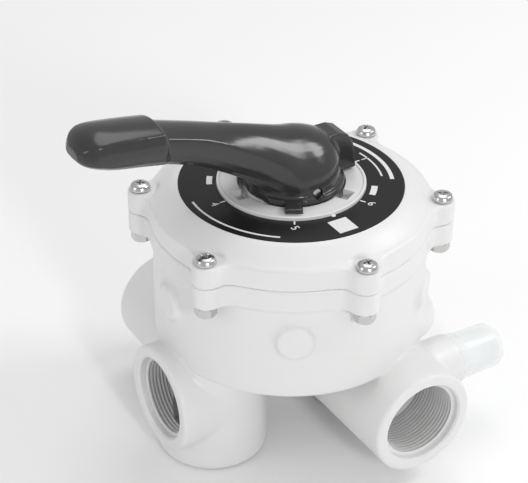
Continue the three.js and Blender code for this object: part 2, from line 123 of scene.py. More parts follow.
@dataclass(frozen=True)
class Finish:
    """A moulded, turned or rubber surface: base values with fine variation over them."""

    name: str
    slot: str
    colour: tuple[float, float, float]
    roughness: float
    metallic: float = 0.0
    coat: float = 0.0
    specular: float = 0.5
    mottle: float = 0.03
    roughness_spread: float = 0.08
    grain_size: float = 0.6
    grain_depth: float = 0.015
    stretch: tuple[float, float, float] = (1.0, 1.0, 1.0)

    def make(self) -> bpy.types.Material:
        """Build the material.

        Returns:
            A material whose colour, roughness and grain vary with Object coordinates.
        """
        material = bpy.data.materials.new(self.name)
        material.use_nodes = True
        tree = material.node_tree
        surface = shader(material)
        surface.inputs["Metallic"].default_value = self.metallic
        surface.inputs["Coat Weight"].default_value = self.coat
        surface.inputs["Specular IOR Level"].default_value = self.specular
        spot = tree.nodes.new("ShaderNodeTexCoord").outputs["Object"]
        mapping = tree.nodes.new("ShaderNodeMapping")
        mapping.inputs["Scale"].default_value = self.stretch
        tree.links.new(spot, mapping.inputs["Vector"])
        cloud = self._noise(tree, mapping.outputs[0], 14 * self.grain_size, 3)
        grain = self._noise(tree, mapping.outputs[0], self.grain_size, 2)
        dark = [channel * (1 - self.mottle) for channel in self.colour]
        light = [min(1.0, channel * (1 + self.mottle)) for channel in self.colour]
        mix = tree.nodes.new("ShaderNodeMix")
        mix.data_type = "RGBA"
        mix.inputs["A"].default_value = (*dark, 1)
        mix.inputs["B"].default_value = (*light, 1)
        tree.links.new(cloud, mix.inputs["Factor"])
        tree.links.new(mix.outputs["Result"], surface.inputs["Base Color"])
        spread = tree.nodes.new("ShaderNodeMapRange")
        spread.inputs["To Min"].default_value = self.roughness - self.roughness_spread / 2
        spread.inputs["To Max"].default_value = self.roughness + self.roughness_spread / 2
        tree.links.new(cloud, spread.inputs["Value"])
        tree.links.new(spread.outputs["Result"], surface.inputs["Roughness"])
        bump = tree.nodes.new("ShaderNodeBump")
        bump.inputs["Distance"].default_value = self.grain_depth * MM
        tree.links.new(grain, bump.inputs["Height"])
        tree.links.new(bump.outputs["Normal"], surface.inputs["Normal"])
        return material

    @staticmethod
    def _noise(tree: bpy.types.NodeTree, spot: Socket, size: float, detail: float) -> Socket:
        """Add a noise of a given feature size in millimetres and return its factor."""
        noise = tree.nodes.new("ShaderNodeTexNoise")
        noise.inputs["Scale"].default_value = 1 / (size * MM)
        noise.inputs["Detail"].default_value = detail
        tree.links.new(spot, noise.inputs["Vector"])
        return noise.outputs["Factor" if "Factor" in noise.outputs else "Fac"]


@dataclass(frozen=True)
class ClearFinish(Finish):
    """Water-clear moulded plastic."""

    transmission: float = 1.0
    ior: float = 1.49

    def make(self) -> bpy.types.Material:
        """Build the finish and let light through it."""
        material = super().make()
        surface = shader(material)
        surface.inputs["Transmission Weight"].default_value = self.transmission
        surface.inputs["IOR"].default_value = self.ior
        return material


WHITE = Finish("white_moulding", "white_abs", (0.76, 0.76, 0.757), 0.38, mottle=0.012)
BLACK_RING = Finish(
    "black_print_ring", "black_label", (0.009, 0.009, 0.01), 0.36, specular=0.22, grain_depth=0.008,
)
PRINT = Finish("white_print", "black_label", (0.78, 0.78, 0.77), 0.5, grain_depth=0.004)
CHARCOAL = Finish(
    "charcoal_handle", "charcoal_plastic", (0.034, 0.034, 0.035), 0.17, mottle=0.08, grain_depth=0.012,
)
RUBBER = Finish("black_rubber", "rubber", (0.012, 0.012, 0.012), 0.75, grain_size=0.4, grain_depth=0.03)
STEEL = Finish(
    "stainless_steel", "stainless", (0.58, 0.58, 0.575), 0.24, metallic=1.0, mottle=0.06,
    grain_size=0.25, grain_depth=0.006, stretch=(1, 1, 0.25),
)
NYLON = Finish("natural_nylon", "nylon", (0.68, 0.67, 0.62), 0.48, mottle=0.03)
CLEAR = ClearFinish(
    "clear_plastic", "clear_plastic", (0.90, 0.905, 0.91), 0.05, mottle=0.004, roughness_spread=0.03,
    grain_size=4, grain_depth=0.004,
)


# ------------------------------------------------------------------ mesh tools
class Op(Enum):
    """What a boolean does with its tool."""

    JOIN = "UNION"
    CUT = "DIFFERENCE"
    KEEP = "INTERSECT"


def solid(name: str, vertices: Sequence[Sequence[float]], faces: Sequence[Sequence[int]]) -> Piece:
    """Make a closed mesh object with its faces pointing out.

    Args:
        name: The object's name.
        vertices: Points in millimetres.
        faces: Vertex numbers of each face.

    Returns:
        The new object, in the scene.
    """
    mesh = bpy.data.meshes.new(name)
    mesh.from_pydata([[coordinate * MM for coordinate in vertex] for vertex in vertices], [], faces)
    work = bmesh.new()
    work.from_mesh(mesh)
    bmesh.ops.remove_doubles(work, verts=work.verts, dist=1e-7)
    bmesh.ops.recalc_face_normals(work, faces=work.faces)
    work.to_mesh(mesh)
    work.free()
    piece = bpy.data.objects.new(name, mesh)
    bpy.context.scene.collection.objects.link(piece)
    return piece


def remove(piece: Piece) -> None:
    """Take a tool or a master out of the file with its mesh."""
    mesh = piece.data
    bpy.data.objects.remove(piece)
    bpy.data.meshes.remove(mesh)


def settle(piece: Piece) -> Piece:
    """Bake a piece's modifiers into its mesh.

    Args:
        piece: An object with live modifiers.

    Returns:
        The same object with a plain mesh and no modifiers.
    """
    graph = bpy.context.evaluated_depsgraph_get()
    mesh = bpy.data.meshes.new_from_object(piece.evaluated_get(graph))
    old = piece.data
    piece.modifiers.clear()
    piece.data = mesh
    if old.users == 0:
        bpy.data.meshes.remove(old)
    return piece


def combine(piece: Piece, op: Op, *tools: Piece) -> Piece:
    """Join, cut or keep with each tool in turn, and remove the tools.

    Args:
        piece: The object that is changed.
        op: What is done with every tool.
        *tools: Closed objects.

    Returns:
        The changed piece.
    """
    for tool in tools:
        modifier = piece.modifiers.new(op.name.lower(), "BOOLEAN")
        modifier.operation = op.value
        modifier.solver = "MANIFOLD"
        modifier.object = tool
    settle(piece)
    for tool in tools:
        remove(tool)
    return piece


def soften(corners: Sequence[Corner], steps: int = 4) -> list[tuple[float, float]]:
    """Round the corners of a profile.

    Args:
        corners: (across, along) or (across, along, radius) for each corner, in order.
        steps: Chords in each round corner.

    Returns:
        The profile's points with an arc at each corner that has a radius.
    """
    points: list[tuple[float, float]] = []
    count = len(corners)
    for i, corner in enumerate(corners):
        here = Vector(corner[:2])
        radius = corner[2] if len(corner) > 2 else 0.0
        before = Vector(corners[i - 1][:2]) - here
        after = Vector(corners[(i + 1) % count][:2]) - here
        if radius <= 0 or before.length == 0 or after.length == 0:
            points.append(tuple(here))
            continue
        half = before.angle(after) / 2
        reach = min(radius / math.tan(half), before.length * 0.49, after.length * 0.49)
        fitted = reach * math.tan(half)
        middle = here + (before.normalized() + after.normalized()).normalized() * (fitted / math.sin(half))
        start = here + before.normalized() * reach - middle
        stop = here + after.normalized() * reach - middle
        for step in range(steps + 1):
            ray = start.lerp(stop, step / steps).normalized() * fitted
            points.append(tuple(middle + ray))
    return points


def lathe(name: str, corners: Sequence[Corner], segments: int = PIPE, place: Matrix | None = None) -> Piece:
    """Turn a closed profile round the Z axis.

    Args:
        name: The object's name.
        corners: (radius, height[, rounding]) in order; it may start and end on the axis.
        segments: Facets round the axis.
        place: Where the turned shape goes, in millimetres.

    Returns:
        The turned solid.
    """
    vertices: list[Point] = []
    rows: list[list[int]] = []
    for radius, height in soften(corners):
        first = len(vertices)
        if radius < 1e-6:
            vertices.append((0.0, 0.0, height))
            rows.append([first] * segments)
            continue
        for i in range(segments):
            angle = 2 * math.pi * i / segments
            vertices.append((radius * math.cos(angle), radius * math.sin(angle), height))
        rows.append(list(range(first, first + segments)))
    faces: list[list[int]] = []
    for row, following in zip(rows, rows[1:] + rows[:1]):
        for i in range(segments):
            j = (i + 1) % segments
            face = list(dict.fromkeys((row[i], row[j], following[j], following[i])))
            if len(face) > 2:
                faces.append(face)
    if place is not None:
        vertices = [tuple(place @ Vector(vertex)) for vertex in vertices]
    return solid(name, vertices, faces)


def prism(name: str, outline: Sequence[Sequence[float]], low: float, high: float) -> Piece:
    """Raise a flat outline into a solid between two heights."""
    count = len(outline)
    vertices = [(x, y, height) for height in (low, high) for x, y in outline]
    sides = [[i, (i + 1) % count, count + (i + 1) % count, count + i] for i in range(count)]
    return solid(name, vertices, [list(range(count)), list(range(count, 2 * count)), *sides])


def block(name: str, low: Point, high: Point, turn: float = 0.0) -> Piece:
    """Make a box between two corners, turned about the selector axis by an angle in radians."""
    corners = [(low[0], low[1]), (high[0], low[1]), (high[0], high[1]), (low[0], high[1])]
    turned = [polar_turn(x, y, turn) for x, y in corners]
    return prism(name, turned, low[2], high[2])


def polar_turn(x: float, y: float, angle: float) -> tuple[float, float]:
    """Turn a flat point about the origin by an angle in radians."""
    return x * math.cos(angle) - y * math.sin(angle), x * math.sin(angle) + y * math.cos(angle)


def aim(origin: Sequence[float], direction: Sequence[float]) -> Matrix:
    """Matrix that takes the local +Z axis to a direction from an origin, in millimetres."""
    return Matrix.Translation(origin) @ Vector(direction).to_track_quat("Z", "Y").to_matrix().to_4x4()


def bevelled(piece: Piece, width: float, segments: int = 2, angle: float = 40.0) -> Piece:
    """Round every edge sharper than an angle in degrees by a width in millimetres."""
    modifier = piece.modifiers.new("edges", "BEVEL")
    modifier.width = width * MM
    modifier.segments = segments
    modifier.limit_method = "ANGLE"
    modifier.angle_limit = math.radians(angle)
    return settle(piece)


def smooth(piece: Piece, angle: float = 32.0) -> Piece:
    """Shade a piece smooth, with an edge kept sharp where it turns more than an angle in degrees."""
    piece.data.shade_smooth()
    piece.data.set_sharp_from_angle(angle=math.radians(angle))
    return piece


def thinned(piece: Piece, share: float) -> Piece:
    """Collapse a dense mesh to a share of its faces."""
    modifier = piece.modifiers.new("thin", "DECIMATE")
    modifier.ratio = share
    return settle(piece)


def finish(piece: Piece, look: Finish, body: str, *nodes: str) -> Piece:
    """Dress a piece, put it on its body and hide the CAD nodes that it replaces.

    Args:
        piece: The finished shape.
        look: Its finish.
        body: The CAD body that it rides on.
        *nodes: CAD nodes that it replaces.

    Returns:
        The piece.
    """
    material = bpy.data.materials.get(look.name) or look.make()
    piece.data.materials.clear()
    piece.data.materials.append(material)
    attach(piece, body)
    if nodes:
        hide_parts(*nodes)
    log.info("%s: %d faces, on %s", piece.name, len(piece.data.polygons), body)
    return piece


def screw_thread(
    name: str, minor: float, major: float, pitch: float, start: float, stop: float, taper: float = 0.0,
    segments: int = 72,
) -> Piece:
    """Make a solid with a helical ridge on it, cut square at both ends.

    Args:
        name: The object's name.
        minor: Radius in the groove.
        major: Radius on the ridge.
        pitch: Rise of one turn.
        start: Lowest height.
        stop: Highest height.
        taper: Gain in radius for each unit of height above start.
        segments: Facets in each turn.

    Returns:
        The threaded bar.
    """
    profile = [(0.0, major), (0.08, major), (0.36, minor), (0.72, minor)]
    points = len(profile)
    turns = math.ceil((stop - start) / pitch) + 2
    vertices: list[Point] = []
    for row in range(turns * points + 1):
        phase, radius = profile[row % points]
        base = start - pitch + pitch * (row // points + phase)
        for i in range(segments):
            height = base + pitch * i / segments
            reach = radius + taper * (height - start)
            angle = 2 * math.pi * i / segments
            vertices.append((reach * math.cos(angle), reach * math.sin(angle), height))
    rows = turns * points + 1
    last = rows - 1 - points

    def at(i: int, row: int) -> int:
        """Vertex number, with the seam one turn higher."""
        return row * segments + i if i < segments else (row + points) * segments

    faces = [
        [at(i, row), at(i + 1, row), at(i + 1, row + 1), at(i, row + 1)]
        for row in range(last)
        for i in range(segments)
    ]
    bottom = [at(i, 0) for i in range(segments)] + [at(0, row) for row in range(points, 0, -1)]
    top = [at(i, last) for i in range(segments)] + [at(0, row) for row in range(last + points, last, -1)]
    for loop, height in ((bottom, start - pitch), (top, start - pitch + pitch * (last / points + 1))):
        hub = len(vertices)
        vertices.append((0.0, 0.0, height))
        faces += [[loop[i], loop[(i + 1) % len(loop)], hub] for i in range(len(loop))]
    bar = solid(name, vertices, faces)
    wide = major + abs(taper) * (stop - start) + 2
    slab = lathe("slab", [(0, start), (wide, start), (wide, stop), (0, stop)], segments)
    return combine(bar, Op.KEEP, slab)


# ------------------------------------------------------------------ Geometry Nodes tools
class NodeTree:
    """A Geometry Nodes tree with named inputs, grown by short calls."""

    def __init__(self, name: str, sizes: dict[str, float]) -> None:
        """Start a tree.

        Args:
            name: The tree's name.
            sizes: Value of each named input.
        """
        self.tree = bpy.data.node_groups.new(name, "GeometryNodeTree")
        self.sizes = sizes
        for label in sizes:
            self.tree.interface.new_socket(name=label, in_out="INPUT", socket_type="NodeSocketFloat")
        self.tree.interface.new_socket(name="Mesh", in_out="OUTPUT", socket_type="NodeSocketGeometry")
        self.entry = self.tree.nodes.new("NodeGroupInput")

    def node(self, kind: str, **settings: object) -> bpy.types.Node:
        """Add a node and set its properties."""
        node = self.tree.nodes.new(kind)
        for key, value in settings.items():
            setattr(node, key, value)
        return node

    def feed(self, target: Socket, value: object) -> None:
        """Give a socket a link, a named input or a constant."""
        if isinstance(value, str):
            value = self.entry.outputs[value]
        if isinstance(value, bpy.types.NodeSocket):
            self.tree.links.new(value, target)
        else:
            target.default_value = value

    def math(self, operation: str, *values: object) -> Socket:
        """Add a math node on sockets, named inputs or numbers, and return its result."""
        node = self.node("ShaderNodeMath", operation=operation)
        for target, value in zip(node.inputs, values):
            self.feed(target, value)
        return node.outputs[0]

    def close(self, shape: Socket, material: bpy.types.Material) -> None:
        """Realize the instances, set the material and end the tree."""
        real = self.node("GeometryNodeRealizeInstances")
        self.feed(real.inputs[0], shape)
        dress = self.node("GeometryNodeSetMaterial")
        self.feed(dress.inputs["Geometry"], real.outputs[0])
        dress.inputs["Material"].default_value = material
        self.feed(self.node("NodeGroupOutput").inputs[0], dress.outputs[0])

    def grow(self, name: str) -> Piece:
        """Evaluate the tree once and keep its mesh.

        Args:
            name: The new object's name.

        Returns:
            A plain mesh object.
        """
        piece = bpy.data.objects.new(name, bpy.data.meshes.new(name))
        bpy.context.scene.collection.objects.link(piece)
        modifier = piece.modifiers.new("shape", "NODES")
        modifier.node_group = self.tree
        for item in self.tree.interface.items_tree:
            if item.in_out == "INPUT":
                modifier[item.identifier] = self.sizes[item.name]
        return settle(piece)


class MouldedShape(NodeTree):
    """A tree whose field is the distance, in millimetres, from a moulding's skin."""

    LIMIT = 10.0

    def __init__(self, name: str, sizes: dict[str, float]) -> None:
        """Start the field with the three coordinates in millimetres."""
        super().__init__(name, sizes)
        scaled = self.node("ShaderNodeVectorMath", operation="SCALE")
        self.feed(scaled.inputs[0], self.node("GeometryNodeInputPosition").outputs[0])
        scaled.inputs["Scale"].default_value = 1 / MM
        parts = self.node("ShaderNodeSeparateXYZ")
        self.feed(parts.inputs[0], scaled.outputs[0])
        self.x, self.y, self.z = parts.outputs
        self.radial = self.length(self.x, self.y)

    def length(self, across: object, along: object) -> Socket:
        """Length of a flat vector."""
        squares = self.math("MULTIPLY", across, across)
        return self.math("SQRT", self.math("MULTIPLY_ADD", along, along, squares))

    def shifted(self, coordinate: Socket, offset: object) -> Socket:
        """A coordinate measured from an offset."""
        return self.math("SUBTRACT", coordinate, offset)

    def turned(self, degrees: float) -> tuple[Socket, Socket]:
        """Flat coordinates along and across a direction."""
        cosine, sine = math.cos(math.radians(degrees)), math.sin(math.radians(degrees))
        along = self.math("MULTIPLY_ADD", self.x, cosine, self.math("MULTIPLY", self.y, sine))
        across = self.math("MULTIPLY_ADD", self.y, cosine, self.math("MULTIPLY", self.x, -sine))
        return along, across

    def folded(self, count: int, first: float) -> tuple[Socket, Socket]:
        """Flat coordinates in the nearest of even sectors, the first at an angle in radians."""
        sector = 2 * math.pi / count
        angle = self.math("SUBTRACT", self.math("ARCTAN2", self.y, self.x), first)
        whole = self.math("ROUND", self.math("DIVIDE", angle, sector))
        rest = self.math("MULTIPLY_ADD", whole, -sector, angle)
        along = self.math("MULTIPLY", self.radial, self.math("COSINE", rest))
        across = self.math("MULTIPLY", self.radial, self.math("SINE", rest))
        return along, across

    def slab(self, outline: Socket, along: Socket, low: object, high: object, edge: float) -> Socket:
        """Distance from an outline raised between two levels, with its edges rounded."""
        across = self.math("ADD", outline, edge)
        below = self.math("SUBTRACT", low, along)
        above = self.math("SUBTRACT", along, high)
        beyond = self.math("ADD", self.math("MAXIMUM", below, above), edge)
        outer = self.length(self.math("MAXIMUM", across, 0.0), self.math("MAXIMUM", beyond, 0.0))
        inner = self.math("MINIMUM", self.math("MAXIMUM", across, beyond), 0.0)
        return self.math("SUBTRACT", self.math("ADD", outer, inner), edge)

    def rod(
        self, across: tuple[Socket, Socket], along: Socket, radius: object, low: object, high: object,
        edge: float,
    ) -> Socket:
        """Distance from a round rod with rounded ends."""
        outline = self.math("SUBTRACT", self.length(*across), radius)
        return self.slab(outline, along, low, high, edge)

    def union(self, first: Socket, *others: Socket, blend: float) -> Socket:
        """Join distances with a hollow fillet."""
        for other in others:
            first = self.math("SMOOTH_MIN", first, other, blend)
        return first

    def keep(self, first: Socket, *others: Socket, blend: float) -> Socket:
        """Keep what lies inside every distance, with rounded edges."""
        for other in others:
            first = self.math("SMOOTH_MAX", first, other, blend)
        return first

    def minus(self, first: Socket, tool: Socket, blend: float) -> Socket:
        """Cut one distance out of another."""
        return self.keep(first, self.math("MULTIPLY", tool, -1.0), blend=blend)

    def cast(self, name: str, skin: Socket, low: Point, high: Point, grid: float, look: Finish) -> Piece:
        """Turn the field into a mesh.

        Args:
            name: The new object's name.
            skin: Distance from the skin.
            low: Lowest corner of the grid, in millimetres.
            high: Highest corner of the grid, in millimetres.
            grid: Spacing of the grid, in millimetres.
            look: The finish.

        Returns:
            The moulding as a plain mesh.
        """
        volume = self.node("GeometryNodeVolumeCube")
        self.feed(volume.inputs["Density"], self.math("SUBTRACT", self.LIMIT, skin))
        volume.inputs["Min"].default_value = [value * MM for value in low]
        volume.inputs["Max"].default_value = [value * MM for value in high]
        for axis, start, stop in zip("XYZ", low, high):
            volume.inputs[f"Resolution {axis}"].default_value = round((stop - start) / grid)
        surface = self.node("GeometryNodeVolumeToMesh")
        self.feed(surface.inputs["Volume"], volume.outputs[0])
        surface.inputs["Threshold"].default_value = self.LIMIT
        self.close(surface.outputs[0], bpy.data.materials.get(look.name) or look.make())
        return self.grow(name)


class RingOfCopies(NodeTree):
    """A tree that sets copies of one master at even angles round the selector axis."""

    def __init__(
        self, name: str, master: Piece, count: int, circle: float, first: float, look: Finish,
    ) -> None:
        """Build the tree.

        Args:
            name: The tree's name.
            master: The shape that is repeated; it is removed by spread().
            count: Number of copies.
            circle: Radius of the circle that they stand on, in millimetres.
            first: Angle of the first copy, in radians.
            look: The copies' finish.
        """
        super().__init__(name, {"Circle radius": circle * MM, "First angle": first})
        self.master = master
        points = self.node("GeometryNodeMeshCircle")
        points.inputs["Vertices"].default_value = count
        self.feed(points.inputs["Radius"], "Circle radius")
        source = self.node("GeometryNodeObjectInfo")
        source.inputs["Object"].default_value = master
        turn = self.node("ShaderNodeCombineXYZ")
        step = self.math("MULTIPLY", self.node("GeometryNodeInputIndex").outputs[0], 2 * math.pi / count)
        self.feed(turn.inputs["Z"], step)
        copies = self.node("GeometryNodeInstanceOnPoints")
        self.feed(copies.inputs["Points"], points.outputs["Mesh"])
        self.feed(copies.inputs["Instance"], source.outputs["Geometry"])
        self.feed(copies.inputs["Rotation"], turn.outputs[0])
        whole = self.node("GeometryNodeTransform")
        self.feed(whole.inputs["Geometry"], copies.outputs[0])
        spin = self.node("ShaderNodeCombineXYZ")
        self.feed(spin.inputs["Z"], "First angle")
        self.feed(whole.inputs["Rotation"], spin.outputs[0])
        self.close(whole.outputs[0], bpy.data.materials.get(look.name) or look.make())

    def spread(self, name: str) -> Piece:
        """Make the copies one plain mesh and remove the master."""
        piece = self.grow(name)
        remove(self.master)
        return piece


# ------------------------------------------------------------------ shared layout
@dataclass(frozen=True)
class Layout:
    """Places that several pieces share, read from the frame."""

    positions: int = 6
    flange_radius: float = 82.0
    ear_radius: float = 7.3
    hole_radius: float = 3.6
    ear_blend: float = 19.0
    pipe_radius: float = 32.6

    @property
    def screw(self) -> Vector:
        """Middle of the first cover screw."""
        return Extent.of("cover_screw_1").middle

    @property
    def screw_circle(self) -> float:
        """Radius of the circle of screws."""
        return self.screw.to_2d().length

    @property
    def clocking(self) -> float:
        """Angle of the first screw, in radians."""
        return math.atan2(self.screw.y, self.screw.x)

    def outline(self, shape: MouldedShape) -> Socket:
        """Distance from the flange's outline: a circle with a blended ear at each screw."""
        along, across = shape.folded(self.positions, self.clocking)
        ear = shape.math(
            "SUBTRACT", shape.length(shape.shifted(along, self.screw_circle), across), self.ear_radius,
        )
        return shape.union(shape.shifted(shape.radial, self.flange_radius), ear, blend=self.ear_blend)

    def screw_holes(self, low: float, high: float) -> list[Piece]:
        """Make the cutting tools of the screw holes, between two heights."""
        places = [
            polar_turn(self.screw_circle, 0.0, self.clocking + 2 * math.pi * i / self.positions)
            for i in range(self.positions)
        ]
        return [upright_rod("hole", x, y, self.hole_radius, low, high) for x, y in places]


def upright_rod(name: str, x: float, y: float, radius: float, low: float, high: float) -> Piece:
    """A plain vertical cylinder, for use as a cutting tool."""
    profile = [(0, low), (radius, low), (radius, high), (0, high)]
    return lathe(name, profile, SMALL, Matrix.Translation((x, y, 0)))


def cross_hole(pin: Extent, half: float) -> Piece:
    """The hole round the handle's pin, for use as a cutting tool, by its half length."""
    radius = pin.high.x + SLACK
    profile = [(0, -half), (radius, -half), (radius, half), (0, half)]
    return lathe("cross_hole", profile, SMALL, aim((0, 0, pin.middle.z), (0, 1, 0)))


# ------------------------------------------------------------------ housing
@dataclass
class Socketed:
    """One threaded outlet: its mouth, tapered pipe thread and water way."""

    mouth: float = 25.0
    mouth_depth: float = 4.5
    crest: float = 22.9
    root: float = 25.3
    pitch: float = 25.4 / 11.5
    length: float = 30.0
    bore: float = 20.5
    lead: float = 2.4

    def tools(self, place: Matrix, depth: float) -> list[Piece]:
        """Make the cutting tools of one outlet.

        Args:
            place: Takes the local origin to the outlet's face and +Z out of it.
            depth: How far the water way runs in from the face.

        Returns:
            The mouth, thread and bore tools.
        """
        end = -self.mouth_depth - self.length
        mouth = lathe("mouth", [
            (0, 2), (self.mouth + 3.2, 2), (self.mouth + 1.2, 0), (self.mouth, -1.2, 1.0),
            (self.mouth, -self.mouth_depth), (0, -self.mouth_depth),
        ], PIPE, place)
        bore = lathe("bore", [
            (0, end + 1), (self.crest - 0.6, end + 1), (self.crest - 0.6, end - 0.8),
            (self.bore, end - 0.8 - self.lead), (self.bore, -depth), (0, -depth),
        ], PIPE, place)
        taper = 1 / 32
        thread = screw_thread(
            "thread", self.crest - taper * self.length, self.root - taper * self.length, self.pitch,
            end, -self.mouth_depth + 0.5, taper,
        )
        thread.data.transform(Matrix.LocRotScale(place.translation * MM, place.to_quaternion(), None))
        return [mouth, bore, thread]


@dataclass
class Housing:
    """The moulded body: barrel, flange, outlets, drop barrels, pads and sight glass boss."""

    layout: Layout
    barrel: float = 80.5
    barrel_low: float = 27.0
    wall: float = 7.5
    plate: float = 16.0
    flange_low: float = 86.7
    pad_radius: float = 10.0
    pad_proud: float = 2.8
    pad_height: float = 66.8
    pad_angles: tuple[float, ...] = (0, 60, 120, 180, 240, 310)
    swell: tuple[float, float, float] = (66.0, -42.0, 22.0)
    swell_top: float = 52.0
    right_offset: float = 31.4
    back_offset: float = -34.0
    drop_offset: float = 53.4
    drop_radius: float = 33.1
    boss_radius: float = 16.4
    boss_end: float = 82.0
    boss_seat: float = 76.0
    ring_circle: float = 75.2
    ring_half: float = 2.0
    riser: float = 16.0
    right_riser: float = 45.0
    back_riser: float = 44.0
    drop_riser: float = 18.0
    drop_bore: float = 24.0
    drop_floor: float = 7.0
    glass_way: float = 9.5
    grid: float = 1.05
    share: float = 0.42
    outlet: Socketed = field(default_factory=Socketed)

    def skin(self) -> Piece:
        """Cast the outer form, with fillets wherever two stretches meet."""
        box = Extent.of("valve_body")
        layout = self.layout
        shape = MouldedShape("housing_form", {
            "Barrel radius": self.barrel, "Barrel foot": self.barrel_low, "Rim": box.high.z,
            "Flange underside": self.flange_low, "Pipe radius": layout.pipe_radius,
            "Left face": box.low.x, "Right face": box.low.y, "Back face": box.high.y,
            "Drop radius": self.drop_radius, "Drop foot": box.low.z, "Drop offset": self.drop_offset,
            "Right offset": self.right_offset, "Back offset": self.back_offset,
            "Pad radius": self.pad_radius, "Pad height": self.pad_height,
            "Pad face": self.barrel + self.pad_proud, "Boss radius": self.boss_radius,
            "Boss end": self.boss_end, "Glass offset": Extent.of("sight_glass").middle.y,
            "Swell radius": self.swell[2], "Swell top": self.swell_top,
        })
        x, y, z = shape.x, shape.y, shape.z
        barrel = shape.rod((x, y), z, "Barrel radius", "Barrel foot", "Rim", 2.6)
        flange = shape.slab(layout.outline(shape), z, "Flange underside", "Rim", 0.9)
        reach, bearing, _ = self.swell
        across = (
            shape.shifted(x, reach * math.cos(math.radians(bearing))),
            shape.shifted(y, reach * math.sin(math.radians(bearing))),
        )
        swell = shape.rod(across, z, "Swell radius", "Barrel foot", "Swell top", 12.0)
        main = shape.union(barrel, swell, blend=8.0)
        main = shape.union(main, flange, blend=2.5)
        for angle in self.pad_angles:
            along, side = shape.turned(angle)
            across = (side, shape.shifted(z, "Pad height"))
            pad = shape.rod(across, along, "Pad radius", self.barrel - 6, "Pad face", 1.0)
            main = shape.union(main, pad, blend=8.0)
        far = shape.math("MULTIPLY", "Drop offset", -1.0)
        left = shape.rod((y, z), x, "Pipe radius", "Left face", far, 1.8)
        drops = [
            shape.rod((shape.shifted(x, offset), y), z, "Drop radius", "Drop foot", "Barrel foot", 4.0)
            for offset in (far, "Drop offset")
        ]
        across = (shape.shifted(x, "Right offset"), z)
        right = shape.rod(across, y, "Pipe radius", "Right face", 0.0, 1.8)
        across = (shape.shifted(x, "Back offset"), z)
        back = shape.rod(across, y, "Pipe radius", 6.0, "Back face", 1.8)
        across = (shape.shifted(y, "Glass offset"), z)
        boss = shape.rod(across, x, "Boss radius", self.right_offset, "Boss end", 1.0)
        left = shape.union(left, drops[0], blend=2.2)
        right = shape.union(shape.union(right, drops[1], blend=2.2), boss, blend=9.0)
        skin = shape.union(main, left, right, back, blend=2.2)
        margin = 3.0
        low = [value - margin for value in box.low]
        high = [value + margin for value in box.high]
        return thinned(shape.cast("valve_body_moulding", skin, low, high, self.grid, WHITE), self.share)

    def hollows(self) -> list[Piece]:
        """Make the tools for the cavity, water ways, thread and holes."""
        box = Extent.of("valve_body")
        rim = box.high.z
        floor = self.barrel_low + self.plate
        cavity = self.barrel - self.wall
        seat = self.ring_circle + self.ring_half
        tools = [lathe("cavity", [
            (0, floor), (cavity, floor, 1.5), (cavity, rim - 2 * self.ring_half),
            (seat, rim - 2 * self.ring_half, 0.6), (seat, rim - 0.4), (seat + 0.6, rim + 2), (0, rim + 2),
        ], FINE)]
        right_depth = -box.low.y - self.right_riser + self.riser
        back_depth = box.high.y - self.back_riser + self.riser
        spots = [
            (aim((box.low.x, 0, 0), (-1, 0, 0)), -box.low.x - self.drop_offset),
            (aim((self.right_offset, box.low.y, 0), (0, -1, 0)), right_depth),
            (aim((self.back_offset, box.high.y, 0), (0, 1, 0)), back_depth),
            (aim((self.drop_offset, 0, box.low.z), (0, 0, -1)), -box.low.z + self.barrel_low - 6),
        ]
        for place, depth in spots:
            tools += self.outlet.tools(place, depth)
        for x, y, radius in (
            (-self.drop_offset, 0, self.drop_riser), (self.drop_offset, 0, self.drop_riser),
            (self.right_offset, -self.right_riser, self.riser),
            (self.back_offset, self.back_riser, self.riser),
        ):
            tools.append(upright_rod("riser", x, y, radius, -2, floor + BEYOND))
        tools.append(upright_rod(
            "elbow", -self.drop_offset, 0, self.drop_bore, box.low.z + self.drop_floor, self.barrel_low - 3,
        ))
        glass = Extent.of("sight_glass")
        pocket = glass.high.z + SLACK
        tools.append(lathe("glass_seat", [
            (0, self.right_offset), (self.glass_way, self.right_offset), (self.glass_way, self.boss_seat),
            (pocket, self.boss_seat, 0.4), (pocket, self.boss_end - 0.5), (pocket + 0.9, self.boss_end + 0.5),
            (0, self.boss_end + 0.5),
        ], PIPE, aim((0, glass.middle.y, 0), (1, 0, 0))))
        return tools + self.layout.screw_holes(self.flange_low - 2, rim + 2)

    def build(self) -> None:
        """Make and dress the body."""
        body = combine(self.skin(), Op.CUT, *self.hollows())
        finish(smooth(body), WHITE, "housing", "valve_body")


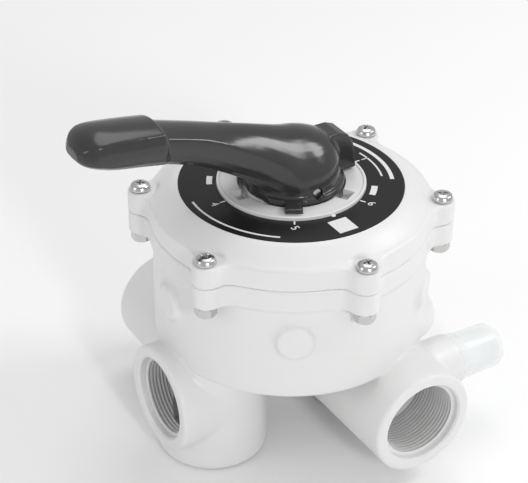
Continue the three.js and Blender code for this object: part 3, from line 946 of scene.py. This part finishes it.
# ------------------------------------------------------------------ cover
@dataclass
class Cover:
    """The moulded cover: wavy flange, crown, label seat, notched collar and stem guide."""

    layout: Layout
    seam: float = 0.15
    flange_top: float = 113.5
    crown_foot: float = 80.5
    crown_top_radius: float = 67.0
    spot_radius: float = 10.8
    collar_inner: float = 31.2
    collar_radius: float = 43.2
    collar_top: float = 124.0
    rim_width: float = 1.5
    notch_width: float = 10.4
    notch_reach: float = 38.2
    notch_floor: float = 119.0
    well_floor: float = 117.0
    guide: tuple[float, float] = (22.0, 27.4)
    guide_top: float = 121.6
    stem_radius: float = 11.4
    guide_low: float = 97.0
    guide_outer: float = 20.0
    web: tuple[float, float] = (110.0, 112.0)
    web_radius: float = 44.6
    inner_radius: float = 66.7
    thickness: float = 7.0
    spigot: tuple[float, float] = (6.0, 7.0)
    lip_out: float = 2.4
    grid: float = 0.85
    share: float = 0.42

    def crown(self) -> Piece:
        """Cast the flange and crown."""
        box = Extent.of("cover")
        label = Extent.of("position_label")
        foot = Extent.of("valve_body").high.z + self.seam
        layout = self.layout
        shape = MouldedShape("cover_form", {
            "Seam": foot, "Flange top": self.flange_top, "Crown top": label.high.z,
            "Crown foot": self.crown_foot, "Spot radius": self.spot_radius,
            "Screw circle": layout.screw_circle,
        })
        z = shape.z
        flange = shape.slab(layout.outline(shape), z, "Seam", "Flange top", 1.0)
        run = Vector((self.crown_top_radius - self.crown_foot, label.high.z - self.flange_top)).normalized()
        outward = shape.math("MULTIPLY", shape.shifted(shape.radial, "Crown foot"), run.y)
        slope = shape.math("MULTIPLY_ADD", shape.shifted(z, "Flange top"), -run.x, outward)
        roof = shape.math("SUBTRACT", z, "Crown top")
        under = shape.math("SUBTRACT", self.flange_top - 4, z)
        crown = shape.keep(slope, roof, blend=4.0)
        crown = shape.keep(crown, shape.shifted(shape.radial, "Crown foot"), under, blend=0.5)
        along, across = shape.folded(layout.positions, layout.clocking)
        spot = shape.rod(
            (shape.shifted(along, "Screw circle"), across), z, "Spot radius", "Flange top",
            self.flange_top + 30, 0.3,
        )
        crown = shape.minus(crown, spot, blend=1.6)
        skin = shape.union(flange, crown, blend=3.0)
        margin = 3.0
        low = (box.low.x - margin, box.low.y - margin, foot - margin)
        high = (box.high.x + margin, box.high.y + margin, label.high.z + margin)
        return thinned(shape.cast("cover_moulding", skin, low, high, self.grid, WHITE), self.share)

    def collar(self) -> Piece:
        """Make the notched collar, handle well and stem guide in one turned piece."""
        label = Extent.of("position_label")
        inner = self.collar_radius
        lip = inner - self.rim_width
        seat = label.low.z - SLACK
        sunk = 0.5
        turned = lathe("collar", [
            (self.stem_radius, self.guide_low), (self.guide_outer, self.guide_low, 0.8),
            (self.guide_outer, self.web[0]), (self.web_radius, self.web[1]),
            (self.web_radius, seat), (inner, seat),
            (inner, self.collar_top, 0.4), (lip, self.collar_top, 0.4),
            (lip - 0.4, self.collar_top - sunk, 0.3), (self.collar_inner, self.collar_top - sunk, 0.5),
            (self.collar_inner, self.well_floor, 1.2), (self.guide[1], self.well_floor, 1.0),
            (self.guide[1], self.guide_top, 0.6), (self.guide[0], self.guide_top, 0.6),
            (self.guide[0], self.well_floor, 1.0), (self.stem_radius, self.well_floor, 0.6),
        ], FINE)
        half = self.notch_width / 2
        notches = [
            block(
                "notch", (self.collar_inner - 1.5, -half, self.notch_floor),
                (self.notch_reach, half, self.collar_top + 1), 2 * math.pi * i / self.layout.positions,
            )
            for i in range(self.layout.positions)
        ]
        stub, height = 1.5, self.collar_top - 1.2
        gate = lathe("gate", [
            (0, self.web[1]), (stub, self.web[1]), (stub, height, 0.8), (0, height),
        ], SMALL, Matrix.Translation((0, -inner - 0.6, 0)))
        combine(turned, Op.CUT, *notches)
        return combine(turned, Op.JOIN, gate)

    def build(self) -> None:
        """Make and dress the cover."""
        label = Extent.of("position_label")
        foot = Extent.of("valve_body").high.z + self.seam
        cavity = Extent.of("seat_gasket").high.x + 0.7
        rim, top = label.high.x, label.high.z
        above = top + BEYOND
        seat_floor = label.low.z - SLACK
        seat = lathe("label_seat", [
            (0, seat_floor), (rim + SLACK, seat_floor, 0.2), (rim + SLACK, above), (0, above),
        ], FINE)
        under = top - self.thickness - 1
        hole = self.web_radius - 0.8
        hollow = lathe("hollow", [
            (0, foot - 2), (self.inner_radius, foot - 2),
            (self.inner_radius, self.flange_top - self.thickness, 3),
            (self.crown_top_radius - 10, under, 2), (hole, under), (hole, above), (0, above),
        ], FINE)
        lip = rim + self.lip_out
        groove = lathe("lip_groove", [
            (lip - 0.3, top - 0.5, 0.2), (lip + 0.3, top - 0.5, 0.2), (lip + 0.5, above), (lip - 0.5, above),
        ], FINE)
        holes = self.layout.screw_holes(foot - 2, self.flange_top + 2.5)
        cover = combine(self.crown(), Op.CUT, seat, hollow, groove, *holes)
        wall, depth = self.spigot
        spigot = lathe("spigot", [
            (cavity - wall, foot - depth, 0.6), (cavity, foot - depth, 0.8), (cavity, foot + 1),
            (cavity - wall - 0.5, foot + 1),
        ], FINE)
        combine(cover, Op.JOIN, self.collar(), spigot)
        finish(smooth(cover), WHITE, "housing", "cover")


# ------------------------------------------------------------------ printed ring
@dataclass
class PositionLabel:
    """The black ring with its printed ticks, numbers and plain bars."""

    layout: Layout
    inner: float = 43.5
    tick: tuple[float, float] = (3.4, 0.9)
    film: float = 0.12
    number_height: float = 5.0
    number_circle: float = 51.0
    plate: tuple[float, float, float, float] = (-1.0, -55.0, 12.0, 13.0)
    plate_arcs: tuple[tuple[str, float, float, float, float], ...] = (
        ("plate_left", 47.3, 3.3, 143, 154), ("plate_right", 48.0, 3.6, -49, -37),
    )
    rule_arcs: tuple[tuple[str, float, float, float, float], ...] = (
        ("rule_left", 61.0, 1.3, 172, 232), ("rule_right", 58.5, 2.4, -28, 22),
        ("rule_inner", 53.0, 1.1, -24, 8),
    )

    def ring(self) -> None:
        """Make the ring itself."""
        box = Extent.of("position_label")
        ring = lathe("position_ring", [
            (self.inner, box.low.z), (box.high.x, box.low.z), (box.high.x, box.high.z, 0.25),
            (self.inner, box.high.z, 0.25),
        ], FINE)
        finish(smooth(ring), BLACK_RING, "housing", "position_label")

    def slab(self, name: str, x: float, y: float, width: float, depth: float, turn: float = 0.0) -> Piece:
        """A thin printed bar centred at a place on the ring."""
        top = Extent.of("position_label").high.z
        signs = ((-1, -1), (1, -1), (1, 1), (-1, 1))
        corners = [polar_turn(u * width / 2, v * depth / 2, turn) for u, v in signs]
        outline = [(x + u, y + v) for u, v in corners]
        return prism(name, outline, top - 0.05, top + self.film)

    def curved_bar(self, name: str, radius: float, width: float, start: float, stop: float) -> Piece:
        """A thin printed bar that follows the ring between two angles in degrees."""
        steps = max(3, round(abs(stop - start) / 3))
        angles = [math.radians(start + (stop - start) * i / steps) for i in range(steps + 1)]
        outer = [((radius + width / 2) * math.cos(a), (radius + width / 2) * math.sin(a)) for a in angles]
        inner = [((radius - width / 2) * math.cos(a), (radius - width / 2) * math.sin(a)) for a in angles]
        top = Extent.of("position_label").high.z
        return prism(name, outer + inner[::-1], top - 0.05, top + self.film)

    def number(self, text: str, x: float, y: float) -> Piece:
        """A printed number, read from the grip's end."""
        curve = bpy.data.curves.new("number", "FONT")
        curve.body = text
        curve.size = self.number_height * 1.38 * MM
        curve.extrude = self.film * MM / 2
        curve.align_x = "CENTER"
        curve.align_y = "CENTER"
        curve.resolution_u = 4
        sign = bpy.data.objects.new("number", curve)
        bpy.context.scene.collection.objects.link(sign)
        graph = bpy.context.evaluated_depsgraph_get()
        mesh = bpy.data.meshes.new_from_object(sign.evaluated_get(graph))
        bpy.data.objects.remove(sign)
        top = Extent.of("position_label").high.z + self.film / 2
        mesh.transform(Matrix.Translation((x * MM, y * MM, top * MM)) @ Matrix.Rotation(-math.pi / 2, 4, "Z"))
        piece = bpy.data.objects.new(f"position_number_{text}", mesh)
        bpy.context.scene.collection.objects.link(piece)
        return piece

    def build(self) -> None:
        """Make and dress the ring and everything printed on it."""
        self.ring()
        length, width = self.tick
        master = self.slab("tick", 0, 0, length, width)
        circle = self.inner + 0.5 + length / 2
        ticks = RingOfCopies("tick_ring", master, self.layout.positions, circle, 0.0, PRINT)
        finish(ticks.spread("position_ticks"), PRINT, "housing")
        for i in range(self.layout.positions):
            angle = 2 * math.pi * i / self.layout.positions
            x, y = self.number_circle * math.cos(angle), self.number_circle * math.sin(angle)
            finish(self.number(str(i + 1), x, y), PRINT, "housing")
        printed = [
            *(self.curved_bar(*arc) for arc in self.plate_arcs),
            self.slab("plate_front", *self.plate),
            *(self.curved_bar(*arc) for arc in self.rule_arcs),
        ]
        for piece in printed:
            finish(piece, PRINT, "housing")


# ------------------------------------------------------------------ handle
@dataclass(frozen=True)
class Station:
    """One cross-section of the lever, at a distance out from the selector axis.

    The ridge and side are (across, height) on one half; power tells how late the top falls
    towards the ridge.
    """

    out: float
    top: float
    ridge: tuple[float, float]
    side: tuple[float, float]
    bottom: float
    power: float = 2.0

    def values(self) -> list[float]:
        """All the sizes in one row."""
        return [self.out, self.top, *self.ridge, *self.side, self.bottom, self.power]

    @classmethod
    def from_values(cls, row: Sequence[float]) -> "Station":
        """Make a station from a row of sizes."""
        out, top, ridge_out, ridge_height, side_out, side_height, bottom, power = row
        return cls(out, top, (ridge_out, ridge_height), (side_out, side_height), bottom, power)

    def outline(self, steps: int = 8) -> list[tuple[float, float]]:
        """Points round the section, as (across, height)."""
        ridge_out, ridge_height = self.ridge
        side_out, side_height = self.side
        fall = self.top - ridge_height
        shares = [i / steps for i in range(steps + 1)]
        half = [(ridge_out * share, self.top - fall * share**self.power) for share in shares]
        half += [
            (ridge_out + (side_out - ridge_out) * 0.62, (ridge_height + side_height) / 2),
            (side_out, side_height),
            (side_out * 0.95, (side_height + self.bottom) / 2),
            (side_out * 0.7, self.bottom + 0.3),
            (0.0, self.bottom),
        ]
        return half + [(-across, height) for across, height in half[-2:0:-1]]


def flowing(run: Sequence[Station], steps: int = 5) -> list[Station]:
    """Fill a run of stations with smooth steps between each pair.

    Args:
        run: The stations, in order.
        steps: Steps from one station to the next.

    Returns:
        The run with the added stations.
    """
    rows = [station.values() for station in run]
    rows = [rows[0], *rows, rows[-1]]
    filled = []
    for before, here, there, after in zip(rows, rows[1:], rows[2:], rows[3:]):
        for i in range(steps):
            t = i / steps
            filled.append(Station.from_values([
                b + 0.5 * t * (c - a + t * (2 * a - 5 * b + 4 * c - d + t * (3 * (b - c) + d - a)))
                for a, b, c, d in zip(before, here, there, after)
            ]))
    return [*filled, run[-1]]


@dataclass
class Handle:
    """The lever handle and its pin."""

    arm_run: tuple[Station, ...] = (
        Station(-27.6, 138.0, (3.4, 137.0), (5.4, 131), 123.4, 2.4),
        Station(-25.4, 144.6, (10.6, 138.6), (12.4, 131), 123.4, 2.6),
        Station(-20, 150.4, (17.8, 139.0), (19.6, 131), 123.4, 2.6),
        Station(-13, 154.0, (23.2, 138.8), (24.8, 131), 123.4, 2.3),
        Station(-5, 156.8, (26.2, 138.3), (27.5, 131), 123.4, 2.1),
        Station(3, 158.8, (26.7, 138.9), (28.0, 131), 123.4, 1.9),
        Station(10, 160.8, (24.8, 142.2), (26.8, 132.5), 123.4, 1.85),
        Station(18, 163.4, (20.7, 148.0), (22.4, 136), 124.4, 1.9),
        Station(28, 166.6, (17.0, 154.4), (18.5, 143.5), 132.0),
        Station(41, 170.4, (15.2, 161.8), (16.6, 151), 141.8),
        Station(55, 174.3, (13.9, 169.2), (15.2, 159), 150.0),
        Station(68, 178.2, (12.8, 174.2), (14.2, 165), 156.6),
        Station(86.8, 183.2, (13.2, 180.0), (14.6, 171), 163.2),
    )
    grip_run: tuple[Station, ...] = (
        Station(88.2, 186.2, (13.8, 183.0), (16.0, 173.5), 163.6),
        Station(102, 188.4, (14.4, 184.9), (16.6, 175.5), 166.4),
        Station(118, 190.3, (14.8, 186.8), (16.9, 177), 169.4),
        Station(126, 190.0, (14.6, 187.0), (16.6, 178.6), 171.8),
        Station(131, 188.6, (12.8, 185.8), (15.0, 178.8), 173.4),
        Station(134.4, 185.8, (9.6, 183.8), (11.8, 179), 174.8),
        Station(136.6, 182.6, (5.2, 181.6), (7.2, 179.2), 176.4),
    )
    hub_radius: float = 28.0
    shoulder: float = 134.0
    skirt_radius: float = 30.6
    skirt: tuple[float, float] = (122.6, 127.0)
    skirt_flat: float = 25.5
    tab_width: float = 10.0
    tab_reach: float = 39.6
    tab_low: float = 124.5
    tab_angles: tuple[float, ...] = (120.0, 240.0)
    nose_half: float = 8.5
    nose_reach: float = 39.0
    nose_low: float = 124.6
    nose_top: float = 149.0
    stem_half: float = 8.4
    slot_half: float = 15.0
    slot_top: float = 144.0
    grid: float = 0.75
    relax_steps: int = 3
    share: float = 0.5

    def arm(self) -> Piece:
        """Loft the lever through its stations."""
        stations = [*flowing(self.arm_run), *flowing(self.grip_run)]
        sections = [station.outline() for station in stations]
        count = len(sections[0])
        vertices = [
            (-station.out, across, height)
            for station, section in zip(stations, sections)
            for across, height in section
        ]
        faces = [
            [row * count + i, row * count + (i + 1) % count, (row + 1) * count + (i + 1) % count,
             (row + 1) * count + i]
            for row in range(len(sections) - 1)
            for i in range(count)
        ]
        first = list(range(count))
        last = [len(vertices) - count + i for i in range(count)]
        return solid("lever_handle", vertices, [*faces, first, last])

    def hub(self) -> Piece:
        """Turn the plain round foot of the hub, under the lofted top."""
        low = self.skirt[0]
        return lathe("hub", [
            (0, low), (self.hub_radius, low), (self.hub_radius, self.shoulder, 3), (0, self.shoulder),
        ])

    def base(self) -> list[Piece]:
        """Make the skirt with its flat, the tabs and the nose."""
        low, high = self.skirt
        skirt = lathe("skirt", [
            (0, low), (self.skirt_radius, low, 0.4), (self.skirt_radius, high, 0.8), (0, high),
        ])
        relief = block("relief", (-self.skirt_radius - 1, -40, low - 1), (-self.skirt_flat, 40, high + 1))
        half = self.tab_width / 2
        tabs = [
            block("tab", (5, -half, self.tab_low), (self.tab_reach, half, high), math.radians(angle))
            for angle in self.tab_angles
        ]
        reach, bottom, top = self.nose_reach, self.nose_low, self.nose_top
        profile = [
            (0, bottom), (reach, bottom), (reach - 1, bottom + 9), (reach - 2.5, bottom + 17),
            (reach - 6, top - 1.5), (reach - 12, top + 0.8), (0, top + 0.8),
        ]
        nose = prism("nose", profile, -self.nose_half, self.nose_half)
        nose.data.transform(Matrix.Rotation(math.pi / 2, 4, "X"))
        return [combine(skirt, Op.CUT, relief), *tabs, nose]

    def build(self) -> None:
        """Make and dress the handle and its pin."""
        handle = combine(self.arm(), Op.JOIN, self.hub(), *self.base())
        remesh = handle.modifiers.new("blend", "REMESH")
        remesh.mode = "VOXEL"
        remesh.voxel_size = self.grid * MM
        relax = handle.modifiers.new("relax", "SMOOTH")
        relax.factor = 0.5
        relax.iterations = self.relax_steps
        thinned(handle, self.share)
        pin = Extent.of("handle_pin")
        slot = block(
            "slot", (-self.slot_half, -self.stem_half, 110), (self.slot_half, self.stem_half, self.slot_top),
        )
        radius = pin.high.x
        combine(handle, Op.CUT, slot, cross_hole(pin, 45))
        across = aim((0, 0, pin.middle.z), (0, 1, 0))
        finish(smooth(handle, 38), CHARCOAL, "lever", "handle")
        half = pin.high.y
        rod = lathe("hinge_pin", [
            (0, -half), (radius, -half, 0.9), (radius, half, 0.9), (0, half),
        ], SMALL, across)
        finish(smooth(rod), STEEL, "rotor", "handle_pin")


# ------------------------------------------------------------------ fasteners
@dataclass
class Fasteners:
    """Cross-recessed pan head screws and chamfered hexagon nuts, one of each at every ear."""

    layout: Layout
    shank: float = 3.1
    pitch: float = 1.27
    thread_length: float = 22.0
    recess_reach: float = 3.3
    recess_width: float = 1.35
    recess_depth: float = 2.6

    def screw(self) -> Piece:
        """Make one screw on the Z axis."""
        box = Extent.of("cover_screw_1")
        low, top = box.low.z, box.high.z
        head = (box.high.x - box.low.x) / 2
        seat = top - 4.2
        screw = lathe("screw_master", [
            (0, low + self.thread_length), (self.shank, low + self.thread_length), (self.shank, seat),
            (head - 0.25, seat), (head, seat + 0.3, 0.2), (head, seat + 1.3, 0.9),
            (head * 0.86, top - 0.95, 1.6), (head * 0.5, top - 0.15, 2.0), (0, top),
        ], SMALL)
        thread = screw_thread(
            "shank_thread", self.shank - 0.75, self.shank, self.pitch, low, low + self.thread_length + 0.5,
            segments=24,
        )
        recess = [self.cross_arm(turn, top) for turn in (0.0, math.pi / 2)]
        combine(screw, Op.JOIN, thread)
        return smooth(combine(screw, Op.CUT, *recess), 30)

    def cross_arm(self, turn: float, top: float) -> Piece:
        """One tapered arm of the cross recess."""
        rows = ((top + 0.5, self.recess_reach, self.recess_width), (top - self.recess_depth, 1.1, 0.8))
        vertices = []
        for height, reach, width in rows:
            corners = ((-reach, -width / 2), (reach, -width / 2), (reach, width / 2), (-reach, width / 2))
            vertices += [(*polar_turn(u, v, turn), height) for u, v in corners]
        sides = [[i, (i + 1) % 4, 4 + (i + 1) % 4, 4 + i] for i in range(4)]
        return solid("cross_arm", vertices, [[0, 1, 2, 3], [4, 5, 6, 7], *sides])

    def nut(self) -> Piece:
        """Make one nut on the Z axis."""
        box = Extent.of("cover_nut_1")
        low, high = box.low.z, box.high.z
        corner = (box.high - box.low).to_2d()[0] / 2
        hexagon = [(corner * math.cos(a), corner * math.sin(a)) for a in (math.pi / 3 * i for i in range(6))]
        nut = prism("nut_master", hexagon, low, high)
        chamfer = lathe("chamfer", [
            (0, low), (corner * 0.86, low), (corner * 1.02, low + 1.0), (corner * 1.02, high - 1.0),
            (corner * 0.86, high), (0, high),
        ], 48)
        hole = lathe("nut_hole", [
            (0, low - 1), (4.4, low - 1), (3.3, low + 0.6), (3.3, high - 0.6), (4.4, high + 1), (0, high + 1),
        ], 32)
        combine(nut, Op.KEEP, chamfer)
        return smooth(combine(nut, Op.CUT, hole), 30)

    def build(self) -> None:
        """Make and dress all the screws and nuts."""
        count, circle, first = self.layout.positions, self.layout.screw_circle, self.layout.clocking
        for kind, make in (("screw", self.screw), ("nut", self.nut)):
            ring = RingOfCopies(f"{kind}_ring", make(), count, circle, first, STEEL)
            nodes = [f"cover_{kind}_{i + 1}" for i in range(count)]
            finish(ring.spread(f"cover_{kind}s"), STEEL, "housing", *nodes)


# ------------------------------------------------------------------ sight glass
@dataclass
class SightGlass:
    """The clear cup on the right outlet, with its sealing ring."""

    wall: float = 2.4
    end_round: float = 12.5

    def build(self) -> None:
        """Make and dress the cup and ring."""
        box = Extent.of("sight_glass")
        radius = box.high.z
        seat, tip = box.low.x, box.high.x
        inner = radius - self.wall
        place = aim((0, box.middle.y, 0), (1, 0, 0))
        cup = lathe("sight_cup", [
            (inner, seat, 0.3), (radius - 0.2, seat, 0.3), (radius, seat + 7.5),
            (radius - 0.6, seat + 8.5, 0.4),
            (radius - 0.9, tip, self.end_round), (0, tip),
            (0, tip - self.wall), (inner - 0.9, tip - self.wall, self.end_round - self.wall),
            (inner, seat + 8),
        ], PIPE, place)
        finish(smooth(cup), CLEAR, "housing", "sight_glass")
        rest = Extent.of("sight_glass_o_ring")
        section = (rest.high.x - rest.low.x) / 2
        ring = o_ring("sight_glass_seal", rest.high.z - section, section, 0.0, aim(rest.middle, (1, 0, 0)))
        finish(ring, RUBBER, "housing", "sight_glass_o_ring")


def o_ring(name: str, circle: float, section: float, height: float, place: Matrix | None = None) -> Piece:
    """Turn a round rubber ring."""
    steps = 14
    profile = [
        (circle + section * math.cos(a), height + section * math.sin(a))
        for a in (2 * math.pi * i / steps for i in range(steps))
    ]
    return smooth(lathe(name, profile, PIPE, place), 60)


# ------------------------------------------------------------------ inside
@dataclass
class Internals:
    """What turns and seals inside: key, gasket, spring, washers and O-rings."""

    layout: Layout
    key_thickness: float = 9.0
    key_hub: tuple[float, float] = (20.0, 7.0)
    window: tuple[float, float] = (24.0, 62.0)
    window_half: float = 23.1
    stem: float = 11.0
    stem_flat: float = 8.0
    flat_from: float = 118.5
    groove_half: float = 1.5
    gasket_rim: float = 5.0
    gasket_hub: float = 12.0
    spoke: float = 6.0
    wire: float = 1.2
    coils: float = 4.5
    lift_share: float = 0.79

    def key(self) -> None:
        """Make the selector disc with its window, hub and grooved stem."""
        box = Extent.of("selector_key")
        low, top, radius = box.low.z, box.high.z, box.high.x
        disc_top = low + self.key_thickness
        hub_radius, hub_height = self.key_hub
        grooves: list[Corner] = []
        for i in (1, 2):
            ring = Extent.of(f"stem_o_ring_{i}")
            floor = ring.high.x - (ring.high.z - ring.low.z) - 0.1
            lower, upper = ring.middle.z - self.groove_half, ring.middle.z + self.groove_half
            edges = ((self.stem, lower), (floor, lower), (floor, upper), (self.stem, upper))
            grooves += [(*edge, 0.2) for edge in edges]
        key = lathe("selector", [
            (0, low), (radius, low, 0.5), (radius, disc_top, 1.0), (hub_radius, disc_top, 1.5),
            (hub_radius, disc_top + hub_height, 0.8), (self.stem, disc_top + hub_height, 0.4), *grooves,
            (self.stem, top, 1.0), (0, top),
        ], FINE)
        near, far = self.window
        angles = [math.radians(self.window_half * (i / 8 - 1)) for i in range(17)]
        outline = [(far * math.cos(a), far * math.sin(a)) for a in angles]
        outline += [(near * math.cos(a), near * math.sin(a)) for a in reversed(angles)]
        window = prism("window", outline, low - 1, disc_top + 1)
        flats = [
            block("flat", (-20, min(a, b), self.flat_from), (20, max(a, b), top + 1))
            for a, b in ((self.stem_flat, 20), (-self.stem_flat, -20))
        ]
        combine(key, Op.CUT, window, *flats, cross_hole(Extent.of("handle_pin"), 20))
        finish(smooth(key), NYLON, "rotor", "selector_key")

    def gasket(self) -> None:
        """Make the spoked seat gasket: rim, hub and rounded spokes."""
        box = Extent.of("seat_gasket")
        low, high, outer = box.low.z, box.high.z, box.high.x
        gasket = lathe("gasket", [
            (outer - self.gasket_rim, low, 0.5), (outer, low, 0.5), (outer, high, 1.2),
            (outer - self.gasket_rim, high, 1.2),
        ], FINE)
        hub = lathe("gasket_hub", [
            (0, low), (self.gasket_hub, low, 0.5), (self.gasket_hub, high, 1.2), (0, high),
        ])
        half, reach = self.spoke / 2, outer - self.gasket_rim / 2
        step = 2 * math.pi / self.layout.positions
        spokes = [
            bevelled(block("spoke", (0, -half, low), (reach, half, high), step * (i + 0.5)), 0.8)
            for i in range(self.layout.positions)
        ]
        combine(gasket, Op.JOIN, hub, *spokes)
        finish(smooth(gasket), RUBBER, "housing", "seat_gasket")

    def spring(self) -> None:
        """Wind the spring, with closed and ground end turns."""
        box = Extent.of("key_spring")
        low, high = box.low.z, box.high.z
        circle = box.high.x - self.wire
        steps, sides = 260, 12
        turns = self.coils + 2
        vertices: list[Point] = []
        for i in range(steps + 1):
            share = i / steps
            turn = turns * share
            free = min(max((turn - 1) / self.coils, 0), 1)
            height = low + self.wire * 0.6 + (high - low - 1.2 * self.wire) * free
            angle = 2 * math.pi * turn
            for j in range(sides):
                tilt = 2 * math.pi * j / sides
                reach = circle + self.wire * math.cos(tilt)
                rise = min(max(height + self.wire * math.sin(tilt), low), high)
                vertices.append((reach * math.cos(angle), reach * math.sin(angle), rise))
        rows = [range(i * sides, (i + 1) * sides) for i in range(steps + 1)]
        faces = [
            [row[j], row[(j + 1) % sides], following[(j + 1) % sides], following[j]]
            for row, following in zip(rows, rows[1:])
            for j in range(sides)
        ]
        ends = [list(rows[0]), list(rows[-1])]
        spring = smooth(solid("compression_spring", vertices, [*faces, *ends]), 50)
        finish(spring, STEEL, "spring_carrier", "key_spring")
        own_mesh(spring)

    def washer(self, node: str, name: str, look: Finish, body: str) -> None:
        """Turn one flat washer with eased edges."""
        box = Extent.of(node)
        inner = self.stem + 0.4
        washer = lathe(name, [
            (inner, box.low.z, 0.2), (box.high.x, box.low.z, 0.3), (box.high.x, box.high.z, 0.3),
            (inner, box.high.z, 0.2),
        ])
        finish(smooth(washer), look, body, node)

    def build(self) -> None:
        """Make and dress everything inside."""
        self.key()
        self.gasket()
        self.spring()
        self.washer("lower_spring_washer", "steel_washer", STEEL, "rotor")
        self.washer("upper_spring_washer", "slip_washer", NYLON, "spring_carrier")
        for node, name, body in (
            ("stem_o_ring_1", "stem_seal_1", "rotor"), ("stem_o_ring_2", "stem_seal_2", "rotor"),
            ("cover_o_ring", "cover_seal", "housing"),
        ):
            box = Extent.of(node)
            section = (box.high.z - box.low.z) / 2
            finish(o_ring(name, box.high.x - section, section, box.middle.z), RUBBER, body, node)


# ------------------------------------------------------------------ studio
@dataclass
class Studio:
    """Pale floor, soft light and the camera."""

    bearing: float = -31.9
    pitch: float = 32.51
    roll: float = 0.79
    distance: float = 959.9
    target_height: float = 114.6
    aside: tuple[float, float] = (15.6, 28.35)
    lens: float = 113.2
    floor_drop: float = 0.4
    world: float = 0.58
    lamps: tuple[tuple[str, float, float, float, float, float], ...] = (
        ("key", 102, 42, 1.5, 0.5, 6.5),
        ("front", 22, 24, 1.6, 0.18, 6.0),
        ("top", 170, 62, 3.0, 1.6, 17),
        ("fill", -62, 22, 1.8, 0.6, 3.0),
    )

    def camera(self) -> None:
        """Place the camera on the valve's grip side, looking down at the cover."""
        down, lean = math.radians(self.pitch), math.radians(self.roll)
        forward = Vector((0, math.cos(down), -math.sin(down)))
        upward = Vector((0, math.sin(down), math.cos(down)))
        right = Vector((1, 0, 0))
        right, upward = (
            right * math.cos(lean) + upward * math.sin(lean),
            upward * math.cos(lean) - right * math.sin(lean),
        )
        place = -forward * self.distance - right * self.aside[0] - upward * self.aside[1]
        turn = Matrix.Rotation(math.radians(self.bearing), 4, "Z")
        axes = Matrix((right, upward, -forward)).transposed().to_4x4()
        data = bpy.data.cameras.new("camera")
        data.lens = self.lens
        data.sensor_width = 36.0
        data.clip_start, data.clip_end = 0.05, 20.0
        camera = bpy.data.objects.new("camera", data)
        bpy.context.scene.collection.objects.link(camera)
        lift = Matrix.Translation((0, 0, self.target_height * MM))
        camera.matrix_world = lift @ turn @ Matrix.Translation(place * MM) @ axes
        bpy.context.scene.camera = camera

    def lamp(self, name: str, bearing: float, height: float, reach: float, size: float, power: float) -> None:
        """Hang a square soft light that looks at the valve.

        Args:
            name: The light's name.
            bearing: Degrees round the valve from the camera, anticlockwise from above.
            height: Degrees above the horizon.
            reach: Distance in metres.
            size: Side of the light in metres.
            power: Watts.
        """
        data = bpy.data.lights.new(name, "AREA")
        data.shape = "SQUARE"
        data.size = size
        data.energy = power
        lamp = bpy.data.objects.new(name, data)
        bpy.context.scene.collection.objects.link(lamp)
        around = math.radians(self.bearing - 90 + bearing)
        up = math.radians(height)
        away = Vector((math.cos(around) * math.cos(up), math.sin(around) * math.cos(up), math.sin(up)))
        target = Vector((0, 0, 0.08))
        lamp.location = target + away * reach
        lamp.rotation_euler = away.to_track_quat("Z", "Y").to_euler()

    def floor(self) -> None:
        """Lay a wide pale floor just under the drop barrels."""
        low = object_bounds()[0].z - self.floor_drop * MM
        wide = 12.0
        mesh = bpy.data.meshes.new("floor")
        mesh.from_pydata([(-wide, -wide, low), (wide, -wide, low), (wide, wide, low), (-wide, wide, low)], [],
                         [(0, 1, 2, 3)])
        floor = bpy.data.objects.new("floor", mesh)
        bpy.context.scene.collection.objects.link(floor)
        paper = Finish("pale_paper", "", (0.93, 0.93, 0.93), 0.8, grain_size=3, mottle=0.004, specular=0.1)
        floor.data.materials.append(paper.make())
        floor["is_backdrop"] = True

    def build(self) -> None:
        """Set up the floor, lights, background and camera."""
        self.floor()
        self.camera()
        for lamp in self.lamps:
            self.lamp(*lamp)
        world = bpy.data.worlds.new("studio")
        world.use_nodes = True
        backdrop = next(node for node in world.node_tree.nodes if node.type == "BACKGROUND")
        backdrop.inputs["Color"].default_value = (1, 1, 1, 1)
        backdrop.inputs["Strength"].default_value = self.world
        bpy.context.scene.world = world
        bpy.context.scene.view_settings.view_transform = "Standard"


def main() -> None:
    """Build the valve round its frame and set the studio."""
    logging.basicConfig(level=logging.INFO, format="%(name)s: %(message)s")
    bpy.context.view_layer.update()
    layout = Layout()
    for part in (
        Housing(layout), Cover(layout), PositionLabel(layout), Handle(), Fasteners(layout), SightGlass(),
        Internals(layout), Studio(),
    ):
        part.build()
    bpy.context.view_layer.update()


if __name__ == "__main__":
    main()
